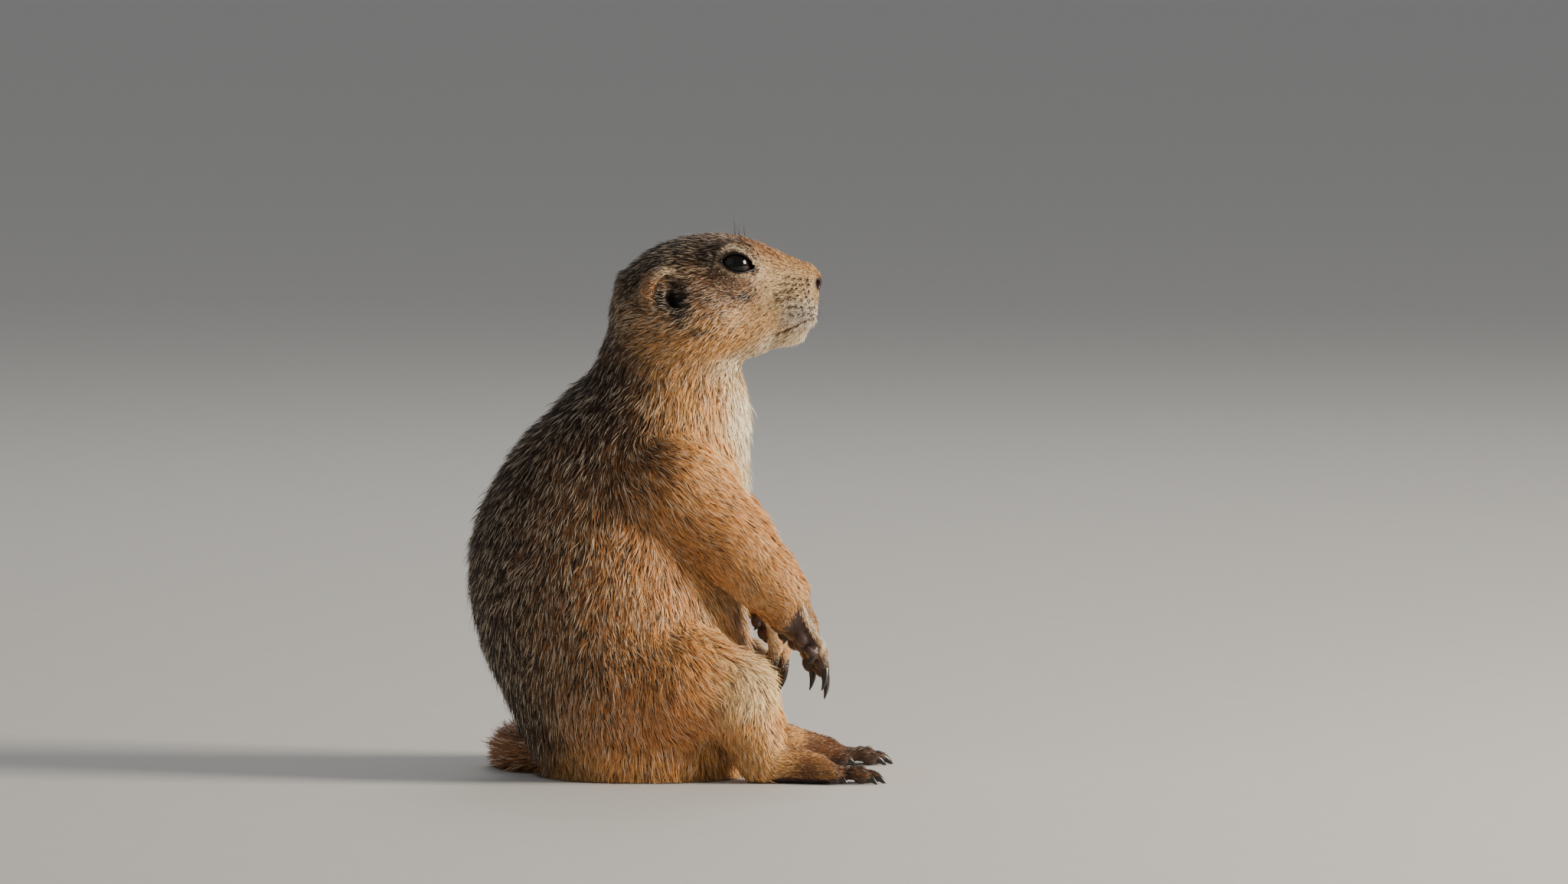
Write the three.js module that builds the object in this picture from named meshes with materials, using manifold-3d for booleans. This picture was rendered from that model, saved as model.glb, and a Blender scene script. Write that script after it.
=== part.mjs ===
// A black-tailed prairie dog, sitting up on its haunches with its hands hanging, as a life-size still model.
// Millimetres. +X is the way it faces, +Y its left side, +Z up, and the floor is at z = 0.
// The body is one smooth form, worked out from the sizes below, and parted into its named pieces by thin cuts.
import * as THREE from "three";
import { mergeVertices } from "three/addons/utils/BufferGeometryUtils.js";
import Module from "manifold-3d";

const wasm = await Module();
wasm.setup();

// Gap between pieces that touch, a reach past the whole animal, and the steps in a millimetre of the vertices' grids.
const GAP = 0.3;
const FAR = 400;
const SNAP = [200, 125, 80, 320];

// Trunk and neck in level slices: height, how far back and forward the outline stands, and half the width.
const TRUNK = {
  along: "z",
  capStart: 8,
  capEnd: 9,
  stations: [
    { at: 0, low: -45, high: 38, half: 42, square: 2.2 },
    { at: 14, low: -51.5, high: 42, half: 47, square: 2.2 },
    { at: 32, low: -60, high: 43, half: 50, square: 2.2 },
    { at: 54, low: -70.5, high: 42, half: 51 },
    { at: 76, low: -76, high: 38.5, half: 50 },
    { at: 92, low: -76.5, high: 37, half: 47.5 },
    { at: 107, low: -74, high: 40, half: 44 },
    { at: 124, low: -66.5, high: 41.3, half: 39.5 },
    { at: 141, low: -55, high: 41.3, half: 35 },
    { at: 157, low: -39.5, high: 41.8, half: 31 },
    { at: 172, low: -26, high: 40, half: 27.5 },
    { at: 188, low: -19.5, high: 30, half: 25 },
    { at: 200, low: -15.5, high: 20, half: 23 },
  ],
};

// Head in upright slices from the back of the skull to the muzzle: place, underside, top and half the width.
const HEAD = {
  along: "x",
  capStart: 6,
  capEnd: 4.4,
  stations: [
    { at: -9, low: 182, high: 216, half: 22, wide: 0.45 },
    { at: 0, low: 177, high: 223.5, half: 25, wide: 0.42 },
    { at: 10, low: 175.5, high: 228, half: 26.5, wide: 0.4 },
    { at: 20, low: 175.5, high: 230.3, half: 26.2, wide: 0.4 },
    { at: 30, low: 176, high: 231, half: 23.6, wide: 0.41 },
    { at: 39, low: 176.5, high: 229.8, half: 20.3, wide: 0.43, square: 2.1 },
    { at: 47, low: 178.5, high: 226.6, half: 17, wide: 0.46, square: 2.3 },
    { at: 54, low: 182.5, high: 223, half: 14, wide: 0.47, square: 2.3 },
    { at: 61, low: 186.5, high: 219.8, half: 11.8, wide: 0.47, square: 2.3 },
    { at: 66.5, low: 191.5, high: 217.4, half: 9.6, wide: 0.5, square: 2.2 },
  ],
};

// Round masses that the skin shows on both sides of the head: middle, half sizes and how softly they blend.
const HEAD_MASSES = [
  { name: "cheek", at: [16, 17, 192], half: [22, 11.5, 15], soft: 8 },
  { name: "brow", at: [35, 14, 222], half: [9.5, 4.6, 4.2], soft: 6 },
  { name: "whisker_pad", at: [60.5, 6.6, 199.5], half: [9.2, 6.8, 8.6], soft: 4 },
  { name: "nose", at: [69.2, 2, 210.5], half: [3.3, 3.5, 3.5], soft: 2.2 },
  { name: "chin", at: [57.6, 2, 189], half: [7.6, 6, 4.6], soft: 4 },
];

// Forelegs. A joint is [x, distance from the middle plane, z, radius]; the hand's directions are [x, outward, z].
const FORELEGS = {
  right: {
    side: -1,
    upper: [[8, 27, 127, 20.5], [35, 28, 99, 17.5]],
    lower: [[35, 28, 99, 17.5], [46.5, 28.5, 87.5, 14], [54.5, 28, 78.5, 11.4], [58, 27.6, 73, 9.4]],
    hand: { along: [0.53, -0.03, -0.848], palm: [-0.76, 0.469, -0.45] },
  },
  left: {
    side: 1,
    upper: [[8, 27, 127, 20.5], [33, 30, 99, 17.5]],
    lower: [[33, 30, 99, 17.5], [41, 30, 88, 14], [47, 28.5, 78.5, 11.4], [49, 27.5, 73, 9.4]],
    hand: { along: [0.27, -0.16, -0.95], palm: [-0.9, 0.3, -0.3] },
  },
};
const ELBOW_CUT = { faces: [0.74, 0, -0.67], past: 3 };

// Hind legs, folded under the haunches: hip, thigh and knee, then the shank down to the heel.
const HINDLEGS = {
  right: { side: -1, heel: [48, 38.5, 6.4], toesOut: 7 },
  left: { side: 1, heel: [52, 37.5, 6.4], toesOut: 11 },
};
const HAUNCH = [[-16, 33, 43, 25.5], [14, 37, 43, 22], [35, 40.5, 38.5, 16]];
const SHANK = [[35, 40.5, 38.5, 16], [47, 38.5, 12, 12.5]];
const THIGH_AXIS = [[-16, 33, 42], [40, 40, 24]];

// Paws, in a frame of their own: along the paw, across it towards the outer toe, and up from the palm or sole.
// A digit is its root, its length past the root, how far it spreads and curls and its thickness; a claw follows.
const HAND = {
  palm: { at: [9, 0, 0.8], half: [12, 7.6, 5.8] },
  wrist: [[-5, 0, 0, 10.2], [7, 0.2, 0.2, 7.5]],
  digits: [
    { name: "1", root: [6.5, -6.2, -3], length: 5, spread: -32, curl: 12, radius: 2.4, claw: 3.4 },
    { name: "2", root: [15.5, -5.2, 0], length: 12, spread: -9, curl: 10, radius: 2.8, claw: 10.5 },
    { name: "3", root: [17.5, -1.6, 0.8], length: 13.5, spread: -2, curl: 7, radius: 3, claw: 12.5 },
    { name: "4", root: [16.5, 2.3, 0.6], length: 12.5, spread: 6, curl: 13, radius: 2.9, claw: 11.5 },
    { name: "5", root: [13, 5.9, -0.6], length: 10, spread: 12, curl: 28, radius: 2.8, claw: 6.5 },
  ],
  pads: [
    { at: [3, 3.6, -6], half: [5.2, 3.8, 4.2] },
    { at: [4, -3.8, -5.6], half: [4.8, 3.5, 3.8] },
    { at: [14, 4.9, -4.4], half: [3.8, 3.2, 3.2] },
    { at: [16, 0, -4], half: [3.7, 3.1, 3.1] },
    { at: [14.5, -4.7, -4], half: [3.5, 2.9, 2.9] },
  ],
};
const FOOT = {
  sole: [[2, 0, -0.2, 7.4], [22, 0, -1.4, 6]],
  instep: [[4, 0, 3.4, 9], [21, -0.4, -0.6, 6.4]],
  ball: { at: [26, 0, -2.6], half: [12, 8.8, 4.8] },
  digits: [
    { name: "1", root: [22, -6.4, -2.7], length: 8, spread: -13, curl: 5, radius: 2.7, claw: 5 },
    { name: "2", root: [31, -5, -2.1], length: 11.5, spread: -6, curl: 7, radius: 2.9, claw: 7 },
    { name: "3", root: [33, -1.2, -1.9], length: 13, spread: -1, curl: 7, radius: 3, claw: 7.6 },
    { name: "4", root: [31.5, 2.8, -2], length: 12, spread: 5, curl: 7, radius: 2.9, claw: 7.2 },
    { name: "5", root: [23.5, 6.4, -2.7], length: 9, spread: 12, curl: 5, radius: 2.7, claw: 5.5 },
  ],
};
const CLAW = { sides: 5, steps: 4, flat: 0.8, deep: 1.15, bend: [6, 50], overlap: 1.2 };

// Eye: middle and radius of the ball, the skin over it, and the almond that the lids leave open.
const EYE = {
  at: [35.4, 13.4, 217.2],
  radius: 8.4,
  lid: 1,
  opening: { back: 6.2, front: 7.1, up: 4.5, down: 4, tilt: -5 },
  faces: [0.2, 1, 0.16],
};
// Ear: a low round cup that stands behind its opening, and the opening's pit in the head.
const EAR = { at: [5.5, 21, 207], half: [10.4, 9, 9.8], wall: 1.5, opensTo: [0.66, 0.7, -0.2], past: 2.6 };
const EAR_PIT = { at: [11.5, 24.5, 205.5], half: [5.2, 4.2, 6.6] };
// Mouth: the height of the lips' line from the corner to the front, and the groove between them, which runs round
// the muzzle by this turn on each side.
const MOUTH = {
  line: [[52, 187.8], [56.5, 188.8], [60.7, 190.9], [64.4, 192.9], [69, 195.2]],
  from: 52,
  turn: 80,
  steps: 9,
  wide: 0.7,
  deep: 1.4,
};
const NOSTRIL = { at: [70.9, 2.7, 209.4], half: [2.6, 0.95, 1.5] };

// Tail: its line on the floor from root to tip, and the half width and height of its core along it.
const TAIL = {
  line: [[-34, 0, 12], [-48, 6, 8.5], [-56, 22, 7.5], [-57, 42, 7], [-51, 61, 6.6], [-42, 78, 6]],
  core: [[0, 8, 7], [0.2, 7.2, 6.2], [0.45, 6.6, 5.6], [0.7, 6.2, 5.2], [0.88, 4.6, 4.2], [1, 1.6, 1.4]],
  steps: 10,
  sides: 8,
};
// Its coat: rows of flat locks between two places on the line, how many stand round it, and their sizes, with how
// much they lift from the core to the sides, above and below.
const TAIL_COAT = {
  rows: 6,
  round: 5,
  from: 0.2,
  to: 0.93,
  length: [19, 24],
  halfWidth: 4.7,
  halfDepth: 1.3,
  lift: { side: 0.42, above: 0.3, below: 0.02 },
  shares: [0.7, 1, 0.78, 0.1],
  sunk: 0.45,
  lean: 0.16,
  seed: 7,
};

// Cuts across the neck and the ankles: a point and the way each plane faces. Legs are parted this far outside
// their flesh.
const HEAD_CUT = { at: [12, 0, 180.5], faces: [0.17, 0, 0.985] };
const NECK_CUT = { at: [2, 0, 154], faces: [0.36, 0, 0.933] };
const ANKLE_CUT = { right: { at: [56, 0, 8], faces: [0.87, 0, -0.5] }, left: { at: [59, 0, 8], faces: [0.87, 0, -0.5] } };
const ARM_MARGIN = 3;
const THIGH_MARGIN = 3.5;

// Sizes of the mesh's squares on the paws. Elsewhere rays leave an axis: rings along its sides, a fan at each end.
const CELL = { hand: 3.1, foot: 3.6 };
const HEAD_GRID = { from: [-6, 0, 203], to: [58, 0, 202], around: 32, fan: 5, side: 19, reach: 46, warp: 0.15 };
const BODY_GRID = { from: [-8, 0, -4], to: [0, 0, 199.5], around: 32, fan: 2, side: 21, reach: 90, warp: 0 };
const LIMB_GRID = { around: 14, fan: 3, side: 6, reach: 60, warp: 0 };
const ARM_INNER = 10;
const THIGH_INNER = 12;

// Colours of the coat, claws and skin.
const COLOURS = { back: 0x7a5c42, buff: 0xb98552, pale: 0xd9bd93, dark: 0x2a2420, skin: 0x3d3029 };

// A smooth curve through the stations, for one of their sizes.
function along(stations, key, fallback, at) {
  const value = (i) => stations[i][key] ?? fallback;
  const last = stations.length - 1;
  let i = 0;
  while (i < last - 1 && at > stations[i + 1].at) i++;
  const slope = (j) => {
    const a = Math.max(j - 1, 0);
    const b = Math.min(j + 1, last);
    return (value(b) - value(a)) / (stations[b].at - stations[a].at);
  };
  const width = stations[i + 1].at - stations[i].at;
  const t = Math.min(Math.max((at - stations[i].at) / width, 0), 1);
  const t2 = t * t;
  const t3 = t2 * t;
  return (
    value(i) * (2 * t3 - 3 * t2 + 1) +
    value(i + 1) * (3 * t2 - 2 * t3) +
    (slope(i) * (t3 - 2 * t2 + t) + slope(i + 1) * (t3 - t2)) * width
  );
}

// How far a point lies outside a form that is given in slices; negative inside.
function sliced(form, x, y, z) {
  const [s, v] = form.along === "z" ? [z, x] : [x, z];
  const { stations } = form;
  const first = stations[0].at;
  const end = stations[stations.length - 1].at;
  const at = Math.min(Math.max(s, first), end);
  const low = along(stations, "low", 0, at);
  const high = along(stations, "high", 0, at);
  const half = along(stations, "half", 0, at);
  const square = along(stations, "square", 2, at);
  const middle = low + (high - low) * along(stations, "wide", 0.5, at);
  const reach = v > middle ? high - middle : middle - low;
  const ring = (Math.abs((v - middle) / reach) ** square + Math.abs(y / half) ** square) ** (1 / square);
  const past = (s - at) / (s < first ? form.capStart : form.capEnd);
  return (Math.hypot(ring, past) - 1) * Math.min(reach, half);
}

// How far a point lies outside an ellipsoid.
function outsideEllipsoid({ at, half }, x, y, z) {
  const px = (x - at[0]) / half[0];
  const py = (y - at[1]) / half[1];
  const pz = (z - at[2]) / half[2];
  const k = Math.hypot(px, py, pz);
  const slope = Math.hypot(px / half[0], py / half[1], pz / half[2]);
  return slope < 1e-9 ? -Math.min(...half) : (k * (k - 1)) / slope;
}

// How far a point lies outside the flesh of a bone, which tapers from one joint to the next.
function outsideBone([a, b], x, y, z) {
  const d = [b[0] - a[0], b[1] - a[1], b[2] - a[2]];
  const size = d[0] * d[0] + d[1] * d[1] + d[2] * d[2];
  const t = Math.min(Math.max(((x - a[0]) * d[0] + (y - a[1]) * d[1] + (z - a[2]) * d[2]) / size, 0), 1);
  return Math.hypot(x - a[0] - d[0] * t, y - a[1] - d[1] * t, z - a[2] - d[2] * t) - a[3] - (b[3] - a[3]) * t;
}

// The union of two forms with a soft crease of the given size.
function blend(a, b, soft) {
  const h = Math.max(soft - Math.abs(a - b), 0) / soft;
  return Math.min(a, b) - (h * h * soft) / 4;
}

// A chain of bones from joint to joint, on the side given by 1 or -1.
function outsideLimb(joints, side, soft, x, y, z) {
  let d = Infinity;
  for (let i = 0; i + 1 < joints.length; i++) {
    const bone = outsideBone([joints[i], joints[i + 1]], x, y * side, z);
    d = i ? blend(d, bone, soft) : bone;
  }
  return d;
}

// The frame of a paw: where a point lies along it, across it and above the palm or sole, and back again.
function pawFrame(origin, alongAxis, upAxis, side) {
  const a = new THREE.Vector3(...alongAxis).normalize();
  const u = new THREE.Vector3(...upAxis).addScaledVector(a, -new THREE.Vector3(...upAxis).dot(a)).normalize();
  const across = new THREE.Vector3().crossVectors(a, u);
  if (across.y * side < 0) across.negate();
  const o = new THREE.Vector3(...origin);
  const turn = (p) => new THREE.Vector3().addScaledVector(a, p[0]).addScaledVector(across, p[1]).addScaledVector(u, p[2]);
  return {
    local: (x, y, z) => {
      const d = new THREE.Vector3(x, y, z).sub(o);
      return [d.dot(a), d.dot(across), d.dot(u)];
    },
    turn,
    world: (p) => turn(p).add(o),
  };
}

const outward = ([x, y, z], side) => [x, y * side, z];

// The upright box round a box in a paw's frame.
function boxOf(frame, low, high) {
  const box = new THREE.Box3();
  for (const x of [low[0], high[0]])
    for (const y of [low[1], high[1]]) for (const z of [low[2], high[2]]) box.expandByPoint(frame.world([x, y, z]));
  return [box.min.toArray(), box.max.toArray()];
}

const handFrames = {};
const footFrames = {};
for (const [name, { side, lower, hand }] of Object.entries(FORELEGS)) {
  const wrist = lower[lower.length - 1];
  handFrames[name] = pawFrame(outward(wrist, side), outward(hand.along, side), outward(hand.palm, side).map((v) => -v), side);
}
for (const [name, { side, heel, toesOut }] of Object.entries(HINDLEGS)) {
  const turn = THREE.MathUtils.degToRad(toesOut);
  footFrames[name] = pawFrame(outward(heel, side), [Math.cos(turn), Math.sin(turn) * side, 0], [0, 0, 1], side);
}

// A digit's joints in its paw's frame: root, knuckle and tip, bent down towards the palm by the curl.
function digitJoints(digit) {
  const spread = THREE.MathUtils.degToRad(digit.spread);
  const step = (from, share, bend) => {
    const down = THREE.MathUtils.degToRad(bend);
    const l = digit.length * share;
    return [
      from[0] + l * Math.cos(down) * Math.cos(spread),
      from[1] + l * Math.cos(down) * Math.sin(spread),
      from[2] - l * Math.sin(down),
    ];
  };
  const knuckle = step(digit.root, 0.55, digit.curl * 0.3);
  return [digit.root, knuckle, step(knuckle, 0.45, digit.curl * 1.6)];
}

function outsideDigit(digit, p) {
  const [root, knuckle, tip] = digitJoints(digit);
  const r = digit.radius;
  const near = outsideBone([[...root, r * 1.02], [...knuckle, r]], ...p);
  const far = outsideBone([[...knuckle, r], [...tip, r * 0.86]], ...p);
  const pad = { at: [tip[0] - r * 0.5, tip[1], tip[2] - r * 0.45], half: [r * 1.15, r * 0.85, r * 0.8] };
  return blend(blend(near, far, 0.8), outsideEllipsoid(pad, ...p), 1);
}

// A hand past its wrist, and a foot from the heel to the toes.
function outsideHand(name, x, y, z) {
  const p = handFrames[name].local(x, y, z);
  let d = blend(outsideEllipsoid(HAND.palm, ...p), outsideBone(HAND.wrist, ...p), 5);
  for (const pad of HAND.pads) d = blend(d, outsideEllipsoid(pad, ...p), 1.2);
  for (const digit of HAND.digits) d = blend(d, outsideDigit(digit, p), 1.3);
  return d;
}

function outsideFoot(name, x, y, z) {
  const p = footFrames[name].local(x, y, z);
  let d = blend(outsideBone(FOOT.sole, ...p), outsideBone(FOOT.instep, ...p), 5);
  d = blend(d, outsideEllipsoid(FOOT.ball, ...p), 4);
  for (const digit of FOOT.digits) d = blend(d, outsideDigit(digit, p), 1.4);
  return d;
}

// Head and neck with the trunk, the shoulders and the haunches, as one soft form.
function outsideHead(x, y, z) {
  let d = sliced(HEAD, x, y, z);
  for (const mass of HEAD_MASSES) d = blend(d, outsideEllipsoid(mass, x, Math.abs(y), z), mass.soft);
  const { at, radius, lid } = EYE;
  return blend(d, Math.hypot(x - at[0], Math.abs(y) - at[1], z - at[2]) - radius - lid, 2.4);
}

function outsideThigh(side, x, y, z) {
  return blend(outsideLimb(HAUNCH, side, 8, x, y, z), outsideLimb(SHANK, side, 8, x, y, z), 5);
}

function outsideBody(x, y, z) {
  let d = blend(sliced(TRUNK, x, y, z), outsideHead(x, y, z), 9);
  for (const { side, upper } of Object.values(FORELEGS)) {
    const low = THREE.MathUtils.clamp((z - 84) * 0.3, 2, 11);
    d = blend(d, outsideLimb(upper, side, 4, x, y, z), low);
  }
  for (const { side } of Object.values(HINDLEGS)) d = blend(d, outsideThigh(side, x, y, z), 9);
  return d;
}

// A closed surface where outside() is zero, in a box, with squares of about the given size.
function surfaceOf(outside, low, high, cell) {
  const count = [0, 1, 2].map((i) => Math.ceil((high[i] - low[i]) / cell) + 1);
  const step = [0, 1, 2].map((i) => (high[i] - low[i]) / (count[i] - 1));
  const place = (i, j, k) => [low[0] + i * step[0], low[1] + j * step[1], low[2] + k * step[2]];
  const walled = (x, y, z) =>
    Math.max(outside(x, y, z), ...[x, y, z].flatMap((v, m) => [low[m] + step[m] - v, v - high[m] + step[m]]));
  const index = (i, j, k) => (k * count[1] + j) * count[0] + i;
  const field = new Float64Array(count[0] * count[1] * count[2]);
  for (let k = 0; k < count[2]; k++)
    for (let j = 0; j < count[1]; j++)
      for (let i = 0; i < count[0]; i++) field[index(i, j, k)] = walled(...place(i, j, k)) + 1e-6;

  const points = [];
  const pointOf = new Map();
  const corners = [0, 1, 2, 3, 4, 5, 6, 7].map((c) => [c & 1, (c >> 1) & 1, c >> 2]);
  for (let k = 0; k < count[2] - 1; k++)
    for (let j = 0; j < count[1] - 1; j++)
      for (let i = 0; i < count[0] - 1; i++) {
        const values = corners.map(([a, b, c]) => field[index(i + a, j + b, k + c)]);
        if (values.every((v) => v > 0) || values.every((v) => v <= 0)) continue;
        const sum = [0, 0, 0];
        let crossings = 0;
        for (let a = 0; a < 8; a++)
          for (const bit of [1, 2, 4]) {
            const b = a | bit;
            if (b === a || values[a] > 0 === values[b] > 0) continue;
            const t = values[a] / (values[a] - values[b]);
            for (let m = 0; m < 3; m++) sum[m] += corners[a][m] + (corners[b][m] - corners[a][m]) * t;
            crossings++;
          }
        const p = place(i + sum[0] / crossings, j + sum[1] / crossings, k + sum[2] / crossings);
        pointOf.set(index(i, j, k), points.length);
        points.push(settle(walled, p, step));
      }

  const faces = [];
  const strides = [1, count[0], count[0] * count[1]];
  for (let k = 1; k < count[2] - 1; k++)
    for (let j = 1; j < count[1] - 1; j++)
      for (let i = 1; i < count[0] - 1; i++) {
        const here = index(i, j, k);
        for (let axis = 0; axis < 3; axis++) {
          const inside = field[here] <= 0;
          if (inside === field[here + strides[axis]] <= 0) continue;
          const u = strides[(axis + 1) % 3];
          const v = strides[(axis + 2) % 3];
          const ring = [here, here - u, here - u - v, here - v].map((c) => pointOf.get(c));
          if (!inside) ring.reverse();
          addSquare(faces, points, ring);
        }
      }
  return pinched(faces) ? surfaceOf(outside, low, high, cell * 0.97) : { points, faces };
}

// Whether two sheets of a surface meet along an edge, which the next finer grid then parts.
function pinched(faces) {
  const seen = new Set();
  for (const face of faces)
    for (const [m, n] of [[0, 1], [1, 2], [2, 0]]) {
      const edge = `${face[m]} ${face[n]}`;
      if (seen.has(edge)) return true;
      seen.add(edge);
    }
  return false;
}

// Moves a vertex onto the surface by a few damped steps down the slope, staying near its cell.
function settle(outside, start, step) {
  const p = [...start];
  const e = 0.05;
  for (let n = 0; n < 4; n++) {
    const value = outside(...p);
    const slope = [0, 1, 2].map((m) => {
      const q = [...p];
      q[m] += e;
      return (outside(...q) - value) / e;
    });
    const size = slope[0] ** 2 + slope[1] ** 2 + slope[2] ** 2;
    if (size < 1e-6) break;
    for (let m = 0; m < 3; m++) {
      p[m] -= (0.9 * value * slope[m]) / size;
      p[m] = THREE.MathUtils.clamp(p[m], start[m] - step[m] * 0.45, start[m] + step[m] * 0.45);
    }
  }
  return p;
}

// The outermost surface where outside() is zero, met by rays from an axis: rings of them along it, a fan at each end.
function surfaceRound(outside, { from, to, around, fan, reach, side, warp }) {
  const a = new THREE.Vector3(...from);
  const b = new THREE.Vector3(...to);
  const ahead = b.clone().sub(a).normalize();
  const up = new THREE.Vector3(0, 0, 1).addScaledVector(ahead, -ahead.z).normalize();
  const across = new THREE.Vector3().crossVectors(up, ahead);
  const hit = (origin, way) => {
    const at = (far) => origin.clone().addScaledVector(way, far).toArray();
    let far = reach;
    while (far > 1 && outside(...at(far)) > 0) far -= 1;
    if (far === reach) return at(reach);
    let near = far;
    far += 1;
    for (let n = 0; n < 16; n++) {
      const half = (near + far) / 2;
      if (outside(...at(half)) < 0) near = half;
      else far = half;
    }
    return at(near);
  };
  const rows = [];
  for (let n = 1; n < fan; n++) rows.push([a, -Math.PI / 2 + (n / fan) * (Math.PI / 2)]);
  for (let n = 0; n <= side; n++) rows.push([a.clone().lerp(b, n / side), 0]);
  for (let n = 1; n < fan; n++) rows.push([b, (n / fan) * (Math.PI / 2)]);
  const points = [];
  for (const [origin, tilt] of rows)
    for (let n = 0; n < around; n++) {
      const even = (n / around) * Math.PI * 2;
      const turn = even + warp * Math.sin(2 * even);
      const way = up.clone().multiplyScalar(Math.cos(turn)).addScaledVector(across, Math.sin(turn));
      way.multiplyScalar(Math.cos(tilt)).addScaledVector(ahead, Math.sin(tilt));
      points.push(hit(origin, way));
    }
  const faces = [];
  for (let r = 0; r + 1 < rows.length; r++)
    for (let n = 0; n < around; n++) {
      const m = (n + 1) % around;
      addSquare(faces, points, [r * around + n, (r + 1) * around + n, (r + 1) * around + m, r * around + m]);
    }
  const last = (rows.length - 1) * around;
  const back = points.push(hit(a, ahead.clone().negate())) - 1;
  const front = points.push(hit(b, ahead)) - 1;
  for (let n = 0; n < around; n++) {
    const m = (n + 1) % around;
    faces.push([back, n, m], [front, last + m, last + n]);
  }
  return { points, faces };
}

// A square as two triangles, split along its shorter diagonal.
function addSquare(faces, points, [a, b, c, d]) {
  const span = (m, n) => Math.hypot(...[0, 1, 2].map((i) => points[m][i] - points[n][i]));
  if (span(a, c) <= span(b, d)) faces.push([a, b, c], [a, c, d]);
  else faces.push([a, b, d], [b, c, d]);
}

// A surface as a solid, whichever way its faces were listed.
function solidFrom({ points, faces }) {
  const make = (list) =>
    new wasm.Manifold(new wasm.Mesh({
      numProp: 3,
      vertProperties: new Float32Array(points.flat()),
      triVerts: new Uint32Array(list.flat()),
    }));
  const solid = make(faces);
  return solid.volume() > 0 ? solid : make(faces.map(([a, b, c]) => [a, c, b]));
}

// The same surface with each vertex moved outwards, for the hollow that a piece sits in.
function grown({ points, faces }, amount) {
  const normals = points.map(() => new THREE.Vector3());
  let volume = 0;
  for (const face of faces) {
    const [a, b, c] = face.map((i) => new THREE.Vector3(...points[i]));
    volume += a.dot(b.clone().cross(c));
    const n = b.sub(a).cross(c.sub(a));
    for (const i of face) normals[i].add(n);
  }
  const moved = points.map((p, i) => normals[i].setLength(amount * Math.sign(volume)).add(new THREE.Vector3(...p)).toArray());
  return { points: moved, faces };
}

// A leg's surface from its first joint to its last.
function limbGrid(joints, side, outside) {
  const [first, last] = [joints[0], joints[joints.length - 1]];
  return surfaceRound(outside, { ...LIMB_GRID, from: outward(first, side), to: outward(last, side) });
}

// A leg's region beyond its inner plane, or with a gap the hollow that this region leaves.
function parted(region, inner, gap = 0) {
  return solidFrom(gap ? grown(region, gap * 1.1) : region).intersect(beyond(inner, -gap));
}

// A three.js geometry as a solid.
function solidOf(geometry) {
  const bare = geometry.clone();
  bare.deleteAttribute("normal");
  bare.deleteAttribute("uv");
  const merged = mergeVertices(bare, 1e-4);
  const position = merged.attributes.position;
  const points = Array.from({ length: position.count }, (_, i) => [position.getX(i), position.getY(i), position.getZ(i)]);
  const faces = Array.from({ length: merged.index.count / 3 }, (_, i) => [0, 1, 2].map((c) => merged.index.getX(i * 3 + c)));
  return solidFrom({ points, faces: faces.filter(([a, b, c]) => a !== b && b !== c && c !== a) });
}

// Everything on the far side of a plane, as a big box whose near face lies on it, moved on by the shift.
function beyond(cut, shift = 0) {
  const faces = new THREE.Vector3(...cut.faces).normalize();
  const box = new THREE.BoxGeometry(FAR * 2, FAR * 2, FAR).translate(0, 0, FAR / 2 + shift);
  box.applyQuaternion(new THREE.Quaternion().setFromUnitVectors(new THREE.Vector3(0, 0, 1), faces));
  return solidOf(box.translate(...cut.at));
}

const turned = (cut) => ({ at: cut.at, faces: cut.faces.map((v) => -v) });
const floor = beyond({ at: [0, 0, 0], faces: [0, 0, 1] });

// The largest closed body of a solid, without loose scraps.
function largest(solid) {
  return solid.decompose().sort((a, b) => b.volume() - a.volume())[0];
}

// A closed tube through rings, each a middle and its two half axes.
function ringTube(rings, sides) {
  const points = [];
  const faces = [];
  for (const { at, wide, deep } of rings)
    for (let s = 0; s < sides; s++) {
      const t = (s / sides) * Math.PI * 2;
      points.push(at.clone().addScaledVector(wide, Math.cos(t)).addScaledVector(deep, Math.sin(t)).toArray());
    }
  for (let r = 0; r + 1 < rings.length; r++)
    for (let s = 0; s < sides; s++) {
      const a = r * sides + s;
      const b = r * sides + ((s + 1) % sides);
      faces.push([a, b, b + sides], [a, b + sides, a + sides]);
    }
  for (const r of [0, rings.length - 1]) {
    const middle = points.push(rings[r].at.toArray()) - 1;
    for (let s = 0; s < sides; s++) {
      const a = r * sides + s;
      const b = r * sides + ((s + 1) % sides);
      faces.push(r === 0 ? [b, a, middle] : [a, b, middle]);
    }
  }
  return { points, faces };
}

// A claw that follows a digit: an oval horn that bends down to a blunt point.
function clawOf(digit, frame) {
  const [, knuckle, tip] = digitJoints(digit);
  const ahead = new THREE.Vector3(...tip).sub(new THREE.Vector3(...knuckle)).normalize();
  const across = new THREE.Vector3(-ahead.y, ahead.x, 0).normalize();
  const at = new THREE.Vector3(...tip).addScaledVector(ahead, -CLAW.overlap);
  at.z += digit.radius * 0.2;
  const rings = [];
  for (let n = 0; n <= CLAW.steps; n++) {
    const t = n / CLAW.steps;
    const bend = THREE.MathUtils.degToRad(THREE.MathUtils.lerp(...CLAW.bend, t));
    const way = ahead.clone().applyAxisAngle(across, bend);
    const size = digit.radius * 0.56 * (1 - 0.84 * t ** 1.4);
    const up = new THREE.Vector3().crossVectors(way, across).normalize();
    rings.push({
      at: frame.world(at.toArray()),
      wide: frame.turn(across.clone().multiplyScalar(size * CLAW.flat).toArray()),
      deep: frame.turn(up.multiplyScalar(size * CLAW.deep).toArray()),
    });
    at.addScaledVector(way, (digit.claw + CLAW.overlap) / CLAW.steps);
  }
  return ringTube(rings, CLAW.sides);
}

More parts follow.
